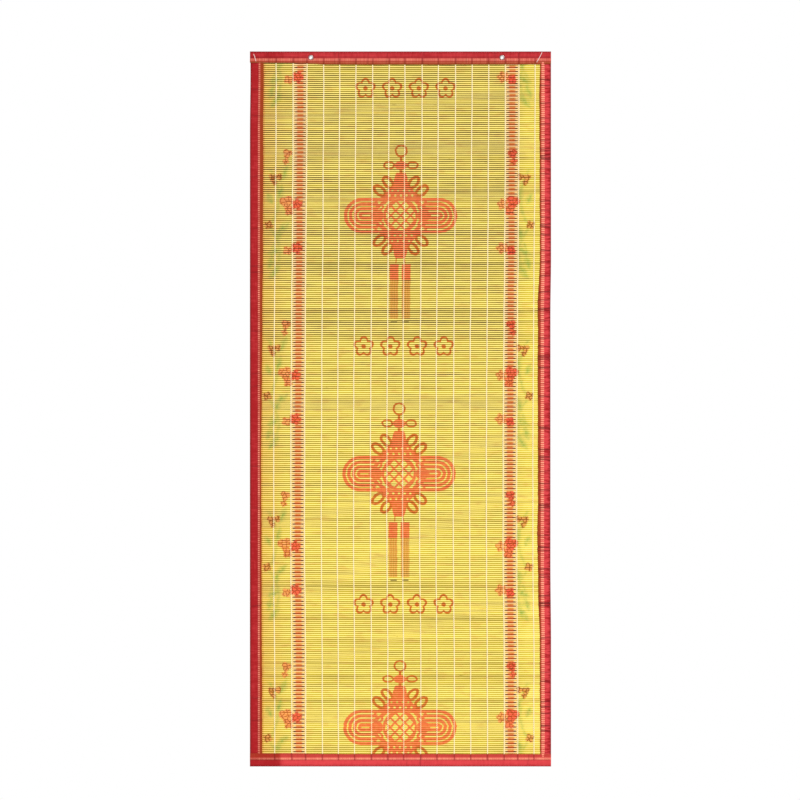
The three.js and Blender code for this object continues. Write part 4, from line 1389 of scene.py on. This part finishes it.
def pierce(piece, nodes):
    """Cut a round hole through a piece for the barrel of each eyelet."""
    work = bmesh.new()
    for node in nodes:
        low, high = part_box(node)
        radius = EYELET_HOLE_SHARE * (high.x - low.x) / 2 + EYELET_WALL * MM
        upright = Matrix.Translation((low + high) / 2) @ Matrix.Rotation(math.pi / 2, 4, "X")
        bmesh.ops.create_cone(work, cap_ends=True, segments=PUNCH_SEGMENTS, radius1=radius, radius2=radius,
                              depth=PUNCH_LENGTH * MM, matrix=upright)
    mesh = bpy.data.meshes.new("eyelet_punch")
    work.to_mesh(mesh)
    work.free()
    punch = bpy.data.objects.new("eyelet_punch", mesh)
    bpy.context.scene.collection.objects.link(punch)
    cut = piece.modifiers.new("eyelet holes", "BOOLEAN")
    cut.operation = "DIFFERENCE"
    cut.object = punch
    bpy.context.view_layer.update()
    graph = bpy.context.evaluated_depsgraph_get()
    pierced = bpy.data.meshes.new_from_object(piece.evaluated_get(graph))
    piece.modifiers.clear()
    piece.data = pierced
    bpy.data.objects.remove(punch)
    bpy.data.meshes.remove(mesh)


class CURTAIN_OT_bindings(bpy.types.Operator):
    """Fold a satin tape over each edge, with its ridge, puckers and creases"""
    bl_idname = "curtain.bindings"
    bl_label = "Satin bindings"

    def execute(self, context):
        sizes, colours = context.scene.curtain.sizes, context.scene.curtain.colours
        material = satin_material(colours)
        cloth = sizes.tape_thickness / MM
        for side in BINDINGS:
            tape = Tape(side)
            u = tape.columns()
            outer, lining = tape.skins(u, cloth)
            rows, columns = outer.shape[:2]
            # The lining carries the same values as the outside
            both = {
                key: np.concatenate([values.reshape(rows * columns, -1)] * 2).squeeze()
                for key, values in tape.looks(u).items()
            }
            points = np.concatenate([outer.reshape(-1, 3), lining.reshape(-1, 3)])
            piece = new_piece(f"satin_binding_{side}", points, sheet_faces(rows, columns), material,
                              [f"binding_{side}"], both)
            if side == "top":
                pierce(piece, EYELETS)
        return {"FINISHED"}


# Pale tacking threads across the top binding: ends of each as x and depth, stations, slack, and how much
# thicker they are than the seams' thread
TACKS = (((-390.5, 7.0), (-384.0, 27.0)), ((376.0, 2.5), (361.5, 29.5)))
TACK_STATIONS = 16
TACK_SLACK = 0.7
TACK_THICKER = 3.2

# Overlock: distance from zig to zag, room at a tape's ends, how far past the hem each turns, and how uneven
OVERLOCK_STEP = 2.72
OVERLOCK_END = 4
OVERLOCK_TURNS = (0.9, 4.6)
OVERLOCK_UNEVEN = 0.45

# Stitches: distance from the inner edge, room at a tape's ends, and the places of one as shares of its
# length, each with its lift as a share of the thread's radius
STITCH_INSET = 2.4
STITCH_END = 5
STITCH_PLACES = (0.05, 0.22, 0.55, 0.72)
STITCH_LIFTS = (-0.9, 0.5, 0.5, -0.9)

# Sides of every thread
THREAD_SIDES = 4


def thread_rods(tape, face, at, u, lift, radius):
    """Rods of thread laid on a binding's face. at and u hold one row of places for each thread."""
    sign = -1 if face == 0 else 1
    paths = tape.place(at, u, sign * (tape.height(face, at, u) + lift))
    along = np.gradient(paths, axis=1)
    out = np.zeros_like(paths)
    out[..., 1] = sign
    side = np.cross(along, out)
    side /= np.linalg.norm(side, axis=-1, keepdims=True)
    return rods(paths, side, out, radius, radius, THREAD_SIDES)


class CURTAIN_OT_seams(bpy.types.Operator):
    """Sew the bindings: an overlocked zigzag on each ridge, a row of stitches and two tacking threads"""
    bl_idname = "curtain.seams"
    bl_label = "Seams"

    def execute(self, context):
        sizes, colours = context.scene.curtain.sizes, context.scene.curtain.colours
        radius = sizes.thread_diameter / MM / 2
        salmon = thread_material("polyester seam thread", tuple(colours.thread))
        red = thread_material("polyester binding thread", tuple(colours.satin_deep))
        cream = thread_material("cotton tacking thread", tuple(colours.tacking))
        for side in BINDINGS:
            tape = Tape(side)
            self.overlock(tape, radius, salmon)
            self.stitches(tape, sizes.stitch_length / MM, radius, red)
        self.tacks(radius, cream)
        return {"FINISHED"}

    def overlock(self, tape, radius, material):
        """A zigzag over the ridge of each face, with a turn about every half splint."""
        count = int((tape.end - tape.start - 2 * OVERLOCK_END) / OVERLOCK_STEP)
        at = tape.start + OVERLOCK_END + OVERLOCK_STEP * np.arange(count)
        rng = np.random.default_rng(tape.rng_seed)
        zig, zag = OVERLOCK_TURNS
        swing = np.where(np.arange(count) % 2, zag, zig)
        swing = swing + rng.uniform(-OVERLOCK_UNEVEN, OVERLOCK_UNEVEN, count)
        u = tape.hem + swing
        points = [thread_rods(tape, face, at[None], u[None], 0.6 * radius, radius) for face in (0, 1)]
        faces = swept_faces(2, count, THREAD_SIDES)
        new_piece(f"overlock_{tape.side}", np.concatenate(points), faces, material, [], {})

    def stitches(self, tape, length, radius, material):
        """A row of straight stitches near the inner edge of each face."""
        starts = np.arange(tape.start + STITCH_END, tape.end - STITCH_END - length, length)
        at = starts[:, None] + length * np.array(STITCH_PLACES)
        u = tape.edge(at) - STITCH_INSET
        lift = radius * np.array(STITCH_LIFTS)
        points = [thread_rods(tape, face, at, u, lift, 0.8 * radius) for face in (0, 1)]
        faces = swept_faces(2 * len(starts), len(STITCH_PLACES), THREAD_SIDES)
        new_piece(f"stitches_{tape.side}", np.concatenate(points), faces, material, [], {})

    def tacks(self, radius, material):
        """A loose tacking thread across the top binding near each end."""
        tape = Tape("top")
        run = np.linspace(0, 1, TACK_STATIONS)
        at, u = [], []
        for (x0, u0), (x1, u1) in TACKS:
            slack = TACK_SLACK * np.sin(math.pi * run)
            at.append(x0 + (x1 - x0) * run + slack)
            u.append(u0 + (u1 - u0) * run)
        # Each thread lies on the cloth, slack in its middle, and only its two ends go in
        lift = 1.2 * radius + 0.5 * np.sin(math.pi * run) - 2.4 * radius * (np.abs(run - 0.5) > 0.49)
        points = thread_rods(tape, 0, np.array(at), np.array(u), lift, TACK_THICKER * radius)
        faces = swept_faces(len(TACKS), TACK_STATIONS, THREAD_SIDES)
        new_piece("tacking_threads", points, faces, material, [], {})


class CURTAIN_OT_eyelets(bpy.types.Operator):
    """Turn a rolled nickel eyelet in the place of each plain ring"""
    bl_idname = "curtain.eyelets"
    bl_label = "Eyelets"

    def execute(self, context):
        material = nickel_material(context.scene.curtain.colours)
        for node in EYELETS:
            low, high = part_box(node)
            centre = (low + high) / 2 / MM
            radius = (high.x - low.x) / 2 / MM
            half = (high.y - low.y) / 2 / MM
            outline = self.section(radius, radius * EYELET_HOLE_SHARE, half)
            turn = 2 * math.pi * np.arange(EYELET_SEGMENTS) / EYELET_SEGMENTS
            ring, y = outline[:, 0], outline[:, 1]
            points = np.stack([
                centre.x + np.cos(turn)[:, None] * ring,
                centre.y + np.broadcast_to(y, (EYELET_SEGMENTS, len(y))),
                centre.z + np.sin(turn)[:, None] * ring,
            ], -1)
            at = np.arange(EYELET_SEGMENTS * len(y)).reshape(EYELET_SEGMENTS, len(y))
            across = np.roll(at, -1, 1)
            round_it = np.roll(at, -1, 0)
            quads = np.stack([at, across, np.roll(across, -1, 0), round_it], -1).reshape(-1, 4).tolist()
            new_piece(f"nickel_{node}", points, quads, material, [node], {})
        return {"FINISHED"}

    def section(self, radius, hole, half):
        """Half section: a rolled front flange, the barrel and a flatter back flange."""
        middle, reach = (radius + hole) / 2, (radius - hole) / 2
        seat = half - EYELET_FLANGE
        barrel = hole + EYELET_WALL - EYELET_PLAY
        front, back = [], []
        for angle in np.linspace(math.pi, 0, EYELET_ARC_POINTS):
            out, up = middle + reach * math.cos(angle), math.sin(angle)
            front.append((out, -seat - EYELET_FLANGE * up))
            back.insert(0, (out, seat + EYELET_FLANGE * min(1, EYELET_BACK_FLATTER * up)))
        return np.array(front + [(barrel, -seat), (barrel, seat)] + back)


# Camera and floor. The picture's side is 800 pixels, at a real size for each pixel, round a middle given as
# x and depth. The clip is in metres.
PIXEL_MM = 2.6575
PICTURE_PIXELS = 800
PICTURE_MIDDLE = (-1.3, 926.3)
CAMERA_AWAY = 8000
SENSOR = 36
CLIP_END = 100
FLOOR_BELOW = 300
FLOOR_RADIUS = 1100
FLOOR_SEGMENTS = 96

# Key light: the direction that it comes from, its strength, and the breadth that softens its shadows
KEY_FROM = (0.45, -0.72, 0.62)
KEY_STRENGTH = 2.5
KEY_BREADTH = math.radians(14)


class CURTAIN_OT_stage(bpy.types.Operator):
    """Set the pale floor, the white surroundings, the key light and the camera"""
    bl_idname = "curtain.stage"
    bl_label = "Stage"

    def execute(self, context):
        scene = context.scene
        self.floor(scene.curtain.colours.floor)
        self.world(scene)
        self.sun(scene)
        self.camera(scene)
        scene.view_settings.view_transform = "Standard"
        return {"FINISHED"}

    def floor(self, colour):
        work = bmesh.new()
        bmesh.ops.create_circle(work, cap_ends=True, segments=FLOOR_SEGMENTS, radius=FLOOR_RADIUS * MM)
        mesh = bpy.data.meshes.new("studio_floor")
        work.to_mesh(mesh)
        work.free()
        mesh.materials.append(floor_material(colour))
        floor = bpy.data.objects.new("studio_floor", mesh)
        floor.location.z = -(HEIGHT + FLOOR_BELOW) * MM
        bpy.context.scene.collection.objects.link(floor)

    def world(self, scene):
        world = bpy.data.worlds.new("white studio")
        world.use_nodes = True
        background = world.node_tree.nodes["Background"]
        background.inputs["Color"].default_value = (1, 1, 1, 1)
        background.inputs["Strength"].default_value = 1.0
        scene.world = world

    def sun(self, scene):
        """A broad even light from the upper right, in front of the curtain."""
        light = bpy.data.lights.new("key_light", "SUN")
        light.energy = KEY_STRENGTH
        light.angle = KEY_BREADTH
        sun = bpy.data.objects.new("key_light", light)
        sun.rotation_euler = Vector(KEY_FROM).to_track_quat("Z", "Y").to_euler()
        scene.collection.objects.link(sun)

    def camera(self, scene):
        lens = bpy.data.cameras.new("photo_camera")
        lens.sensor_width = SENSOR
        lens.lens = SENSOR * CAMERA_AWAY / (PIXEL_MM * PICTURE_PIXELS)
        lens.clip_end = CLIP_END
        camera = bpy.data.objects.new("photo_camera", lens)
        camera.location = (PICTURE_MIDDLE[0] * MM, -CAMERA_AWAY * MM, -PICTURE_MIDDLE[1] * MM)
        camera.rotation_euler = (math.pi / 2, 0, 0)
        scene.collection.objects.link(camera)
        scene.camera = camera


OPERATORS = (
    CURTAIN_OT_splints, CURTAIN_OT_warps, CURTAIN_OT_bindings, CURTAIN_OT_seams, CURTAIN_OT_eyelets,
    CURTAIN_OT_stage,
)


class CURTAIN_PT_panel(bpy.types.Panel):
    """Sizes, colours and pieces of the curtain"""
    bl_idname = "CURTAIN_PT_panel"
    bl_label = "Door curtain"
    bl_space_type = "VIEW_3D"
    bl_region_type = "UI"
    bl_category = "Curtain"

    def draw(self, context):
        for group in (context.scene.curtain.sizes, context.scene.curtain.colours):
            box = self.layout.box()
            for name in group.bl_rna.properties.keys():
                if name not in ("rna_type", "name"):
                    box.prop(group, name)
        for operator in OPERATORS:
            self.layout.operator(operator.bl_idname)


CLASSES = (CurtainSizes, CurtainColours, CurtainSettings, *OPERATORS, CURTAIN_PT_panel)


def register():
    for cls in CLASSES:
        bpy.utils.register_class(cls)
    bpy.types.Scene.curtain = bpy.props.PointerProperty(type=CurtainSettings)


def unregister():
    del bpy.types.Scene.curtain
    for cls in reversed(CLASSES):
        bpy.utils.unregister_class(cls)


def main():
    register()
    bpy.ops.curtain.splints()
    bpy.ops.curtain.warps()
    bpy.ops.curtain.bindings()
    bpy.ops.curtain.seams()
    bpy.ops.curtain.eyelets()
    bpy.ops.curtain.stage()


if __name__ == "__main__":
    main()
